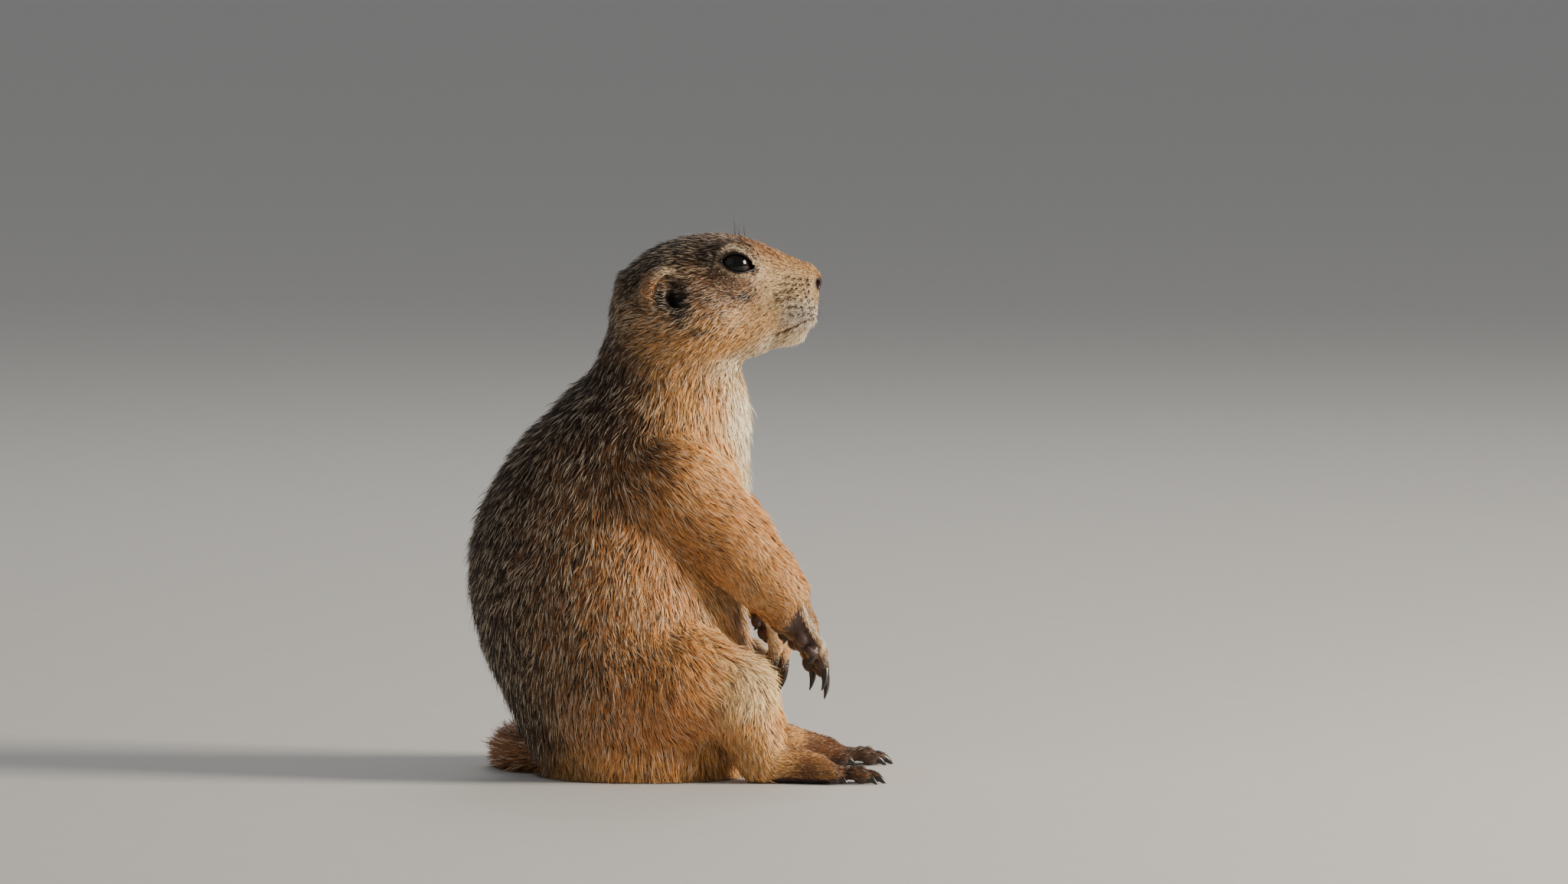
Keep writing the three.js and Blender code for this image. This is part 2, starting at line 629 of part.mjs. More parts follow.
// The eye's own frame: out of the socket, ahead along the lids and up.
function eyeFrame(side) {
  const out = new THREE.Vector3(...outward(EYE.faces, side)).normalize();
  const tilt = THREE.MathUtils.degToRad(EYE.opening.tilt);
  const ahead = new THREE.Vector3(Math.cos(tilt), 0, Math.sin(tilt));
  ahead.addScaledVector(out, -ahead.dot(out)).normalize();
  const up = new THREE.Vector3().crossVectors(out, ahead).normalize();
  if (up.z < 0) up.negate();
  return { at: new THREE.Vector3(...outward(EYE.at, side)), out, ahead, up };
}

// The almond between the lids, as a prism from the middle of the ball outwards.
function lidOpening(side) {
  const { back, front, up, down } = EYE.opening;
  const almond = new THREE.Shape();
  almond.moveTo(-back, 0.2);
  almond.bezierCurveTo(-back * 0.75, up * 1.15, front * 0.3, up * 1.35, front, -0.5);
  almond.bezierCurveTo(front * 0.4, -down * 1.3, -back * 0.7, -down * 1.2, -back, 0.2);
  const prism = new THREE.ExtrudeGeometry(almond, { depth: 14, bevelEnabled: false, curveSegments: 9 });
  const eye = eyeFrame(side);
  const third = new THREE.Vector3().crossVectors(eye.ahead, eye.up);
  if (third.dot(eye.out) < 0) prism.scale(1, 1, -1);
  prism.applyMatrix4(new THREE.Matrix4().makeBasis(eye.ahead, eye.up, third).setPosition(eye.at));
  return solidOf(prism);
}

function ballAt({ at, radius }, side, more = 0) {
  const ball = new THREE.SphereGeometry(radius + more, 14, 10).rotateX(Math.PI / 2);
  return solidOf(ball.translate(...outward(at, side)));
}

function ovalAt({ at, half }, side, across, down, more = 0) {
  const oval = new THREE.SphereGeometry(1, across, down).scale(...half.map((h) => h + more));
  return solidOf(oval.translate(...outward(at, side)));
}

// The groove between the lips: a tube laid round the muzzle from corner to corner, at the height of the mouth's line.
function mouthGroove() {
  const { line, from, turn, steps, wide, deep } = MOUTH;
  const heights = line.map(([at, z]) => ({ at, z }));
  const path = [];
  for (let n = -steps; n <= steps; n++) {
    const angle = THREE.MathUtils.degToRad((turn * n) / steps);
    const p = new THREE.Vector3();
    let z = line[line.length - 1][1];
    for (let tries = 0; tries < 4; tries++) {
      let far = 30;
      while (outsideHead(from + far * Math.cos(angle), far * Math.sin(angle), z) > 0) far -= 0.05;
      p.set(from + far * Math.cos(angle), far * Math.sin(angle), z);
      z = along(heights, "z", 0, p.x);
    }
    path.push(p);
  }
  return ringTube(path.map((at, n) => {
    const way = path[Math.min(n + 1, path.length - 1)].clone().sub(path[Math.max(n - 1, 0)]).normalize();
    const up = new THREE.Vector3(0, 0, 1).addScaledVector(way, -way.z).normalize();
    const out = new THREE.Vector3().crossVectors(way, up).normalize();
    const size = 1 - 0.6 * (Math.abs(n - steps) / steps) ** 4;
    return { at, wide: up.multiplyScalar(wide * size), deep: out.multiplyScalar(deep * size) };
  }), 6);
}

// An ear: a hollow cup with its front cut away, clear of the head.
function earOf(side, headHollow) {
  const opens = new THREE.Vector3(...outward(EAR.opensTo, side)).normalize();
  const at = new THREE.Vector3(...outward(EAR.at, side));
  const hollow = at.clone().addScaledVector(opens, EAR.wall * 0.9).toArray();
  const inner = ovalAt({ at: hollow, half: EAR.half }, 1, 16, 11, -EAR.wall);
  const front = beyond({ at: at.clone().addScaledVector(opens, EAR.past).toArray(), faces: opens.toArray() });
  return ovalAt(EAR, side, 16, 11).subtract(inner).subtract(front).subtract(headHollow);
}

// The tail's line, and at a place along it the way on, the sides of its core and their half sizes.
const tailLine = new THREE.CatmullRomCurve3(TAIL.line.map((p) => new THREE.Vector3(...p)));
function tailAt(t) {
  const stations = TAIL.core.map(([at, wide, deep]) => ({ at, wide, deep }));
  const way = tailLine.getTangentAt(t);
  const across = new THREE.Vector3(-way.y, way.x, 0).normalize();
  return {
    at: tailLine.getPointAt(t),
    way,
    across,
    top: new THREE.Vector3().crossVectors(way, across).normalize(),
    wide: along(stations, "wide", 0, t),
    deep: along(stations, "deep", 0, t),
  };
}

// The tail's core, which lies on the floor.
function tailCore() {
  const rings = [];
  for (let n = 0; n <= TAIL.steps; n++) {
    const { at, across, top, wide, deep } = tailAt(n / TAIL.steps);
    rings.push({ at, wide: across.multiplyScalar(wide), deep: top.multiplyScalar(deep) });
  }
  return ringTube(rings, TAIL.sides);
}

// One lock: a flat taper that leaves its root, lifts away from the core and bends back along the tail.
function lockOf(root, way, out, lift, length) {
  const across = new THREE.Vector3().crossVectors(way, out).normalize();
  const at = root.clone();
  const steps = TAIL_COAT.shares.length - 1;
  return ringTube(TAIL_COAT.shares.map((share, n) => {
    const heading = way.clone().addScaledVector(out, lift * (1 - (0.8 * n) / steps)).normalize();
    const up = new THREE.Vector3().crossVectors(across, heading).normalize();
    const ring = {
      at: at.clone(),
      wide: across.clone().multiplyScalar(TAIL_COAT.halfWidth * share),
      deep: up.multiplyScalar(TAIL_COAT.halfDepth * Math.max(share, 0.3)),
    };
    at.addScaledVector(heading, length / steps);
    return ring;
  }), 4);
}

// The tail's locks, row by row from the root to the tip, each turned a little past its neighbour.
function tailLocks() {
  const { rows, round, from, to, length, lift, sunk, lean } = TAIL_COAT;
  let seed = TAIL_COAT.seed;
  const draw = () => {
    seed = (seed * 16807) % 2147483647;
    return seed / 2147483647;
  };
  const locks = [];
  for (let row = 0; row < rows; row++)
    for (let n = 0; n < round; n++) {
      const t = THREE.MathUtils.lerp(from, to, (row + 0.3 * draw()) / (rows - 0.7));
      const { at, way, across, top, wide, deep } = tailAt(t);
      const turn = ((n + 0.5 * (row % 2) + 0.3 * (draw() - 0.5)) / round) * Math.PI * 2;
      const [c, u] = [Math.cos(turn), Math.sin(turn)];
      const out = across.clone().multiplyScalar(c).addScaledVector(top, u).normalize();
      const root = at.addScaledVector(across, c * wide * sunk).addScaledVector(top, u * deep * sunk);
      const rise = lift.side * c * c + (u > 0 ? lift.above : lift.below) * u * u;
      const side = new THREE.Vector3().crossVectors(way, out);
      const heading = way.clone().addScaledVector(side, lean * (draw() - 0.5)).normalize();
      locks.push(lockOf(root, heading, out, rise, THREE.MathUtils.lerp(...length, draw()) * (1.12 - 0.35 * t)));
    }
  return locks;
}

// A solid with its vertices on a fine grid, so that cuts leave no two of them closer together than the grid.
function snapped(solid) {
  const m = solid.getMesh();
  for (const perMillimetre of SNAP) {
    const place = new Map();
    const points = [];
    const index = Array.from({ length: m.numVert }, (_, i) => {
      const p = [0, 1, 2].map((c) => Math.round(m.vertProperties[i * m.numProp + c] * perMillimetre) / perMillimetre);
      if (!place.has(p.join())) place.set(p.join(), points.push(p) - 1);
      return place.get(p.join());
    });
    const faces = Array.from({ length: m.numTri }, (_, i) => [0, 1, 2].map((c) => index[m.triVerts[i * 3 + c]]));
    try {
      return largest(solidFrom({ points, faces: faces.filter(([a, b, c]) => a !== b && b !== c && c !== a) }));
    } catch {
      continue;
    }
  }
  return solid;
}

const model = new THREE.Group();
function addNode(name, solid, colour, roughness = 0.85) {
  const m = snapped(largest(solid)).getMesh();
  const g = new THREE.BufferGeometry();
  g.setAttribute("position", new THREE.BufferAttribute(new Float32Array(m.vertProperties), 3));
  g.setIndex(new THREE.BufferAttribute(new Uint32Array(m.triVerts), 1));
  g.computeVertexNormals();
  const mesh = new THREE.Mesh(g, new THREE.MeshStandardMaterial({ color: colour, roughness, metalness: 0 }));
  mesh.name = name;
  model.add(mesh);
}

// The head and its openings.
const headShape = surfaceRound(outsideBody, HEAD_GRID);
let head = solidFrom(headShape).intersect(beyond(HEAD_CUT, GAP / 2)).subtract(solidFrom(mouthGroove()));
const headHollow = solidFrom(grown(headShape, GAP * 1.1));
for (const side of [-1, 1]) {
  head = head.subtract(ballAt(EYE, side, GAP)).subtract(lidOpening(side));
  head = head.subtract(ovalAt(NOSTRIL, side, 8, 6)).subtract(ovalAt(EAR_PIT, side, 10, 7));
}
addNode("head", head, COLOURS.buff);

// The body under it, from which each leg takes its own part.
const bodyShape = surfaceRound(outsideBody, BODY_GRID);
const body = solidFrom(bodyShape).intersect(floor);
let trunk = body.intersect(beyond(turned(HEAD_CUT), GAP / 2));
for (const [name, { side, upper, lower, hand }] of Object.entries(FORELEGS)) {
  addNode(`eye_${name}`, ballAt(EYE, side), COLOURS.dark, 0.1);
  addNode(`ear_${name}`, earOf(side, headHollow), COLOURS.buff);

  const [elbow, wrist] = [lower[0], lower[lower.length - 1]];
  const faces = new THREE.Vector3(...outward(ELBOW_CUT.faces, side)).normalize();
  const elbowCut = {
    at: new THREE.Vector3(...outward(elbow, side)).addScaledVector(faces, ELBOW_CUT.past).toArray(),
    faces: faces.toArray(),
  };
  const wristCut = { at: outward(wrist, side), faces: outward(hand.along, side) };
  const armRegion = limbGrid(upper, side, (x, y, z) => outsideLimb(upper, side, 4, x, y, z) - ARM_MARGIN);
  const inner = { at: [0, ARM_INNER * side, 0], faces: [0, side, 0] };
  addNode(`upper_arm_${name}`, body.intersect(parted(armRegion, inner)).intersect(beyond(turned(elbowCut), GAP / 2)), COLOURS.buff);
  trunk = trunk.subtract(parted(armRegion, inner, GAP).intersect(beyond(turned(elbowCut), -GAP / 2)));
  const arm = limbGrid(lower, side, (x, y, z) => outsideLimb(lower, side, 5, x, y, z));
  addNode(`forearm_${name}`, solidFrom(arm).intersect(beyond(elbowCut, GAP / 2)).intersect(beyond(turned(wristCut), GAP / 2)), COLOURS.buff);
  trunk = trunk.subtract(solidFrom(grown(arm, GAP * 1.1)));

  const handShape = surfaceOf((x, y, z) => outsideHand(name, x, y, z), ...boxOf(handFrames[name], [-14, -16, -13], [38, 16, 12]), CELL.hand);
  let paw = solidFrom(handShape).intersect(beyond(wristCut, GAP / 2));
  for (const digit of HAND.digits) {
    const claw = clawOf(digit, handFrames[name]);
    paw = paw.subtract(solidFrom(grown(claw, GAP * 1.2)));
    addNode(`hand_claw_${name}_${digit.name}`, solidFrom(claw), COLOURS.dark, 0.35);
  }
  addNode(`hand_${name}`, paw, COLOURS.skin);
}
for (const [name, { side }] of Object.entries(HINDLEGS)) {
  const footShape = surfaceOf((x, y, z) => outsideFoot(name, x, y, z), ...boxOf(footFrames[name], [-14, -18, -12], [54, 18, 20]), CELL.foot);
  const region = limbGrid(THIGH_AXIS, side, (x, y, z) => outsideThigh(side, x, y, z) - THIGH_MARGIN);
  const inner = { at: [0, THIGH_INNER * side, 0], faces: [0, side, 0] };
  addNode(`thigh_${name}`, body.intersect(parted(region, inner)).intersect(beyond(turned(ANKLE_CUT[name]), GAP / 2)), COLOURS.buff);
  trunk = trunk.subtract(parted(region, inner, GAP));
  let foot = solidFrom(footShape).intersect(floor).intersect(beyond(ANKLE_CUT[name], GAP / 2));
  for (const digit of FOOT.digits) {
    const claw = clawOf(digit, footFrames[name]);
    foot = foot.subtract(solidFrom(grown(claw, GAP * 1.2)));
    addNode(`foot_claw_${name}_${digit.name}`, solidFrom(claw).intersect(floor), COLOURS.dark, 0.35);
  }
  addNode(`foot_${name}`, foot, COLOURS.buff);
}

// The neck, the torso and the tail at its root, whose locks keep clear of the body.
const core = tailCore();
const bodyHollow = solidFrom(grown(bodyShape, GAP * 1.1));
const locks = tailLocks().map((lock) => solidFrom(lock).subtract(bodyHollow));
addNode("neck", trunk.intersect(beyond(NECK_CUT, GAP / 2)), COLOURS.back);
const torso = largest(trunk.intersect(beyond(turned(NECK_CUT), GAP / 2)));
addNode("torso", torso.subtract(solidFrom(grown(core, GAP * 1.1))), COLOURS.back);
addNode("tail", wasm.Manifold.union([solidFrom(core), ...locks]).intersect(floor), COLOURS.back);

// The box of the whole model stands with the middle of its foot at the origin.
const box = new THREE.Box3().setFromObject(model);
const centred = (low, high) => -Math.round((low + high) * SNAP[0] / 2) / SNAP[0];
model.position.set(centred(box.min.x, box.max.x), centred(box.min.y, box.max.y), 0);

export default model;
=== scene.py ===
"""Looks of a sitting prairie dog: one soft skin over its body and a coat of solid blades.

Sizes are millimetres in the animal's own frame, where +X is the way it faces, +Y its left side and +Z up.
Frame turns them into metres in the row frame. Each part of the animal is a class with its sizes and methods.
"""

import logging
from dataclasses import dataclass, field
from enum import Enum
from typing import Callable, ClassVar, Dict, List, Optional, Sequence, Tuple

import bmesh
import bpy
import numpy as np
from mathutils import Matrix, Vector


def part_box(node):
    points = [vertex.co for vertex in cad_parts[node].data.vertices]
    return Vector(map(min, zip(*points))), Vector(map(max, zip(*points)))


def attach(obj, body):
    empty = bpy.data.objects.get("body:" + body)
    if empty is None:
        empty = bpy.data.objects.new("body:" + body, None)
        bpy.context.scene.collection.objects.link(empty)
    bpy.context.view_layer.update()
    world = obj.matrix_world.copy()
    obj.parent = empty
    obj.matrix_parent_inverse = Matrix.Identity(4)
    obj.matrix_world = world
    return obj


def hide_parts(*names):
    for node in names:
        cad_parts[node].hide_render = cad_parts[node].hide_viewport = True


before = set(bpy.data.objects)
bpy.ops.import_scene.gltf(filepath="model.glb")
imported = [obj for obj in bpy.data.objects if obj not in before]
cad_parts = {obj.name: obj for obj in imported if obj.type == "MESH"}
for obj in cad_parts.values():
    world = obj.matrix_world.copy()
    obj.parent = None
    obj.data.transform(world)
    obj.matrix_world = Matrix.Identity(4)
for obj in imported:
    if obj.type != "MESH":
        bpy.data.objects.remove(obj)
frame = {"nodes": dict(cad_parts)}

import openvdb
from mathutils import Vector

log = logging.getLogger("prairie_dog")

Array = np.ndarray
Triple = Tuple[float, float, float]
Colour = Tuple[float, float, float]
Joints = Sequence[Sequence[float]]
Form = Callable[[Array], Array]
Box = Tuple[Array, Array]

# A shape is its points, its quads and its triangles. A ramp is places from root to tip and the values there.
Shape = Tuple[Array, Array, Array]
Ramp = Tuple[Tuple[float, ...], Tuple[float, ...]]
Inputs = Dict[object, object]
Piece = bpy.types.Object

MM = 0.001
BODY = "root"
SIDES = {"right": -1.0, "left": 1.0}
MARKS = "marks"
NECK_LEAN = 0.17
FAR_OFF = 50.0


class Slot(Enum):
    """Material slots, one of which each part names."""

    FUR = "fur"
    CLAW = "claw"
    EYE = "eye"


class Region(Enum):
    """The coat's pieces, each a mesh of its own."""

    FACE_RIGHT = "face_right"
    FACE_LEFT = "face_left"
    HEAD_RIGHT = "head_right"
    HEAD_LEFT = "head_left"
    NECK = "neck"
    CHEST = "chest"
    BACK_RIGHT = "back_right"
    BACK_LEFT = "back_left"
    FLANK_RIGHT = "flank_right"
    FLANK_LEFT = "flank_left"
    ARM_RIGHT = "arm_right"
    ARM_LEFT = "arm_left"
    LEG_RIGHT = "leg_right"
    LEG_LEFT = "leg_left"
    TAIL = "tail"

    @property
    def part(self) -> str:
        """The part of the body, without its side."""
        return self.value.split("_")[0]


# Plain mathematics


def unit(v: Array) -> Array:
    """Scales vectors to length one."""
    size = np.linalg.norm(v, axis=-1, keepdims=True)
    return v / np.maximum(size, 1e-9)


def smoothstep(low: float, high: float, value: Array) -> Array:
    """A soft step from nought to one."""
    t = np.clip((value - low) / (high - low), 0.0, 1.0)
    return t * t * (3.0 - 2.0 * t)


def bump(value: Array, at: float, width: float) -> Array:
    """A soft hill of height one."""
    return np.exp(-(((value - at) / width) ** 2))


def mixed(a: Array, b: Array, share: Array) -> Array:
    """Values that go from a to b by a share."""
    return a * (1 - share) + b * share


def folded(p: Array) -> Array:
    """Points with y counted outwards, so that both sides are one."""
    return np.stack([p[:, 0], np.abs(p[:, 1]), p[:, 2]], axis=-1)


def away_from(p: Array, at: Sequence[float]) -> Array:
    """How far points are from one place."""
    return np.linalg.norm(p - np.asarray(at), axis=-1)


def neck_height(p: Array) -> Array:
    """Heights counted along the neck, which leans forward."""
    return p[:, 2] + NECK_LEAN * p[:, 0]


def to_side(side: float) -> Array:
    """What turns a place or way of the left side into that of one side."""
    return np.array([1.0, side, 1.0])


def blend(a: Array, b: Array, soft: float) -> Array:
    """The union of two forms with a soft crease."""
    h = np.maximum(soft - np.abs(a - b), 0.0) / soft
    return np.minimum(a, b) - h * h * soft * 0.25


def carve(a: Array, b: Array, soft: float) -> Array:
    """Cuts one form out of another with a rounded edge."""
    return -blend(-a, b, soft)


def hermite(knots: Array, values: Array, at: Array) -> Array:
    """A smooth curve through knots.

    Args:
        knots: Rising places.
        values: The values there.
        at: Places within the knots' range.

    Returns:
        The curve's values.
    """
    last = len(knots) - 1
    i = np.searchsorted(knots[1:-1], at, side="left")
    before = np.maximum(np.arange(last + 1) - 1, 0)
    after = np.minimum(np.arange(last + 1) + 1, last)
    slopes = (values[after] - values[before]) / (knots[after] - knots[before])
    width = knots[i + 1] - knots[i]
    t = np.clip((at - knots[i]) / width, 0.0, 1.0)
    t2, t3 = t * t, t * t * t
    return (
        values[i] * (2 * t3 - 3 * t2 + 1)
        + values[i + 1] * (3 * t2 - 2 * t3)
        + (slopes[i] * (t3 - 2 * t2 + t) + slopes[i + 1] * (t3 - t2)) * width
    )


def outside_oval(p: Array, at: Sequence[float], half: Sequence[float]) -> Array:
    """How far points lie outside an ellipsoid, nearly.

    Args:
        p: Points.
        at: The ellipsoid's middle.
        half: Its half sizes.

    Returns:
        Distances, negative inside.
    """
    q = (p - np.asarray(at)) / np.asarray(half)
    k = np.linalg.norm(q, axis=-1)
    slope = np.linalg.norm(q / np.asarray(half), axis=-1)
    return k * (k - 1.0) / np.maximum(slope, 1e-6)


def bone_place(p: Array, a: Sequence[float], b: Sequence[float]) -> Tuple[Array, Array]:
    """Where points lie along a bone, and how far from its line.

    Args:
        p: Points.
        a: The bone's first joint.
        b: Its second joint.

    Returns:
        The share of the way from a to b, and the distance from the line between them.
    """
    start, way = np.asarray(a[:3]), np.asarray(b[:3]) - np.asarray(a[:3])
    t = np.clip((p - start) @ way / (way @ way), 0.0, 1.0)
    return t, np.linalg.norm(p - start - t[..., None] * way, axis=-1)


def outside_bone(p: Array, a: Sequence[float], b: Sequence[float]) -> Array:
    """How far points lie outside the flesh of a bone, which tapers from one joint to the next."""
    t, far = bone_place(p, a, b)
    return far - a[3] - (b[3] - a[3]) * t


def outside_limb(p: Array, joints: Joints, soft: float) -> Array:
    """How far points lie outside a chain of bones.

    Args:
        p: Points.
        joints: Joints with their radii.
        soft: The crease between bones.

    Returns:
        Distances, negative inside.
    """
    d = outside_bone(p, joints[0], joints[1])
    for a, b in zip(joints[1:], joints[2:]):
        d = blend(d, outside_bone(p, a, b), soft)
    return d


def mirrored(joints: Joints, side: float) -> List[List[float]]:
    """Joints given by their distance from the middle plane, on one side of the body."""
    return [[j[0], j[1] * side, *j[2:]] for j in joints]


# The animal's forms


@dataclass(frozen=True)
class Slice:
    """One slice of the trunk or the head: its place, its reach to both ends, its half width and its shape."""

    at: float
    low: float
    high: float
    half: float
    wide: float = 0.5
    square: float = 2.0


@dataclass(frozen=True)
class SlicedForm:
    """A soft form through slices that lie along one axis, 2 for level slices and 0 for upright ones."""

    axis: int
    cap_start: float
    cap_end: float
    slices: Tuple[Slice, ...]

    def column(self, name: str) -> Array:
        """One size of all the slices."""
        return np.array([getattr(s, name) for s in self.slices])

    def outside(self, p: Array) -> Array:
        """How far points lie outside the form.

        Args:
            p: Points.

        Returns:
            Distances, negative inside.
        """
        s, v = p[:, self.axis], p[:, 2 - self.axis]
        knots = self.column("at")
        at = np.clip(s, knots[0], knots[-1])
        low, high, half, wide, square = (
            hermite(knots, self.column(name), at) for name in ("low", "high", "half", "wide", "square")
        )
        middle = low + (high - low) * wide
        reach = np.where(v > middle, high - middle, middle - low)
        ring = np.abs((v - middle) / reach) ** square + np.abs(p[:, 1] / half) ** square
        ring = ring ** (1.0 / square)
        past = (s - at) / np.where(s < knots[0], self.cap_start, self.cap_end)
        return (np.hypot(ring, past) - 1.0) * np.minimum(reach, half)


TRUNK = SlicedForm(
    axis=2,
    cap_start=8,
    cap_end=9,
    slices=(
        Slice(0, -45, 38, 42, square=2.2),
        Slice(14, -51.5, 42, 47, square=2.2),
        Slice(32, -60, 43, 50, square=2.2),
        Slice(54, -70.5, 42, 51),
        Slice(76, -76, 38.5, 50),
        Slice(92, -76.5, 37, 47.5),
        Slice(107, -74, 40, 44),
        Slice(124, -66.5, 41.3, 39.5),
        Slice(141, -55, 41.3, 35),
        Slice(157, -39.5, 41.8, 31),
        Slice(172, -26, 40, 27.5),
        Slice(188, -19.5, 30, 25),
        Slice(200, -15.5, 20, 23),
    ),
)
HEAD = SlicedForm(
    axis=0,
    cap_start=6,
    cap_end=4.4,
    slices=(
        Slice(-9, 182, 216, 22, wide=0.45),
        Slice(0, 177, 223.5, 25, wide=0.42),
        Slice(10, 175.5, 228, 26.5, wide=0.4),
        Slice(20, 175.5, 230.3, 26.2, wide=0.4),
        Slice(30, 176, 231, 23.6, wide=0.41),
        Slice(39, 176.5, 229.8, 20.3, wide=0.43, square=2.1),
        Slice(47, 178.5, 226.6, 17, wide=0.46, square=2.3),
        Slice(54, 182.5, 223, 14, wide=0.47, square=2.3),
        Slice(61, 186.5, 219.8, 11.8, wide=0.47, square=2.3),
        Slice(66.5, 191.5, 217.4, 9.6, wide=0.5, square=2.2),
    ),
)


@dataclass(frozen=True)
class Mass:
    """A round mass under the skin: its middle, half sizes and how softly it blends in."""

    at: Triple
    half: Triple
    soft: float = 3.0

    def outside(self, p: Array) -> Array:
        """How far points lie outside the mass."""
        return outside_oval(p, self.at, self.half)


HEAD_MASSES = (
    Mass((16, 17, 192), (22, 11.5, 15), 8),
    Mass((35, 14, 222), (9.5, 4.6, 4.2), 6),
    Mass((60.5, 6.6, 199.5), (9.2, 6.8, 8.6), 4),
    Mass((67.7, 1.6, 209.9), (4.6, 4.6, 5.2), 3.4),
    Mass((57.6, 2, 189), (7.6, 6, 4.6), 4),
)


@dataclass(frozen=True)
class EyeSocket:
    """The ball of an eye, the skin over it and the almond that the lids leave open."""

    at: Triple = (35.4, 13.4, 217.2)
    radius: float = 8.4
    lid: float = 0.85
    back: float = 6.6
    front: float = 7.4
    up: float = 4.1
    down: float = 3.3
    tilt: float = -5.0
    faces: Triple = (0.2, 1.0, 0.16)
    chord_start: float = 0.3
    chord_fall: float = 1.0
    rim: float = 0.7
    bed: float = 0.7

    def axes(self, side: float = 1.0) -> Tuple[Array, Array, Array]:
        """The eye's own directions.

        Args:
            side: 1 for the left side, -1 for the right.

        Returns:
            Unit vectors ahead along the lids, up across them and out of the socket.
        """
        out = unit(np.array(self.faces) * to_side(side))
        tilt = np.radians(self.tilt)
        ahead = np.array([np.cos(tilt), 0.0, np.sin(tilt)])
        ahead = unit(ahead - out * (ahead @ out))
        up = np.cross(out, ahead)
        return ahead, up if up[2] > 0 else -up, out

    def lids(self, p: Array) -> Tuple[Array, Array, Array]:
        """Where points lie against the opening between the lids, on the left side.

        Args:
            p: Points with y counted outwards.

        Returns:
            How far outside the almond they lie, their place up across it, and how far out of the socket.
        """
        ahead, up, out = self.axes()
        q = p - np.array(self.at)
        u, v = q @ ahead, q @ up
        s = np.clip((u + self.back) / (self.back + self.front), 0.0, 1.0)
        chord = self.chord_start - self.chord_fall * s
        top = self.up * np.sin(np.pi * s**0.9) ** 0.66 - 0.15
        low = self.down * np.sin(np.pi * s**0.84) ** 0.76 - 0.15
        outside = np.where(v > chord, v - chord - top, chord - low - v)
        ends = np.maximum(-self.back - u, u - self.front)
        outside = np.maximum(outside * 0.85, ends)
        return outside, v - chord, q @ out

    def front_distance(self, p: Array) -> Array:
        """How far points are from the outer side of the eye's ball."""
        return np.linalg.norm(p - np.array(self.at) - np.array([0, self.radius, 0]), axis=-1)


@dataclass(frozen=True)
class Mouth:
    """The line between the lips, as heights along the muzzle, and the groove that it makes."""

    places: Tuple[float, ...] = (52.5, 54, 56.5, 60.7, 64.4, 69)
    heights: Tuple[float, ...] = (187.7, 188.2, 189.0, 191.0, 193.0, 195.0)
    wide: float = 0.3
    deep: float = 1.5

    def line(self, x: Array) -> Array:
        """The height of the line between the lips."""
        return np.interp(x, self.places, self.heights)


@dataclass(frozen=True)
class Ear:
    """A low round cup that stands behind its opening, and the opening's pit."""

    at: Triple = (5.5, 21.0, 207.0)
    half: Triple = (10.2, 8.9, 9.7)
    wall: float = 1.7
    opens_to: Triple = (0.66, 0.7, -0.2)
    past: float = 2.5
    pit: Mass = Mass((11.5, 24.5, 205.5), (5.6, 5.0, 6.8), 1.6)

    def outside(self, p: Array) -> Array:
        """How far points lie outside the cup, on the left side.

        Args:
            p: Points with y counted outwards.

        Returns:
            Distances, negative inside.
        """
        opens = unit(np.array(self.opens_to))
        shell = outside_oval(p, self.at, self.half)
        hollow = np.array(self.at) + opens * self.wall * 0.9
        inner = outside_oval(p, hollow, np.array(self.half) - self.wall)
        front = (p - np.array(self.at)) @ opens - self.past
        return carve(carve(shell, -front, 1.2), inner, 0.9)


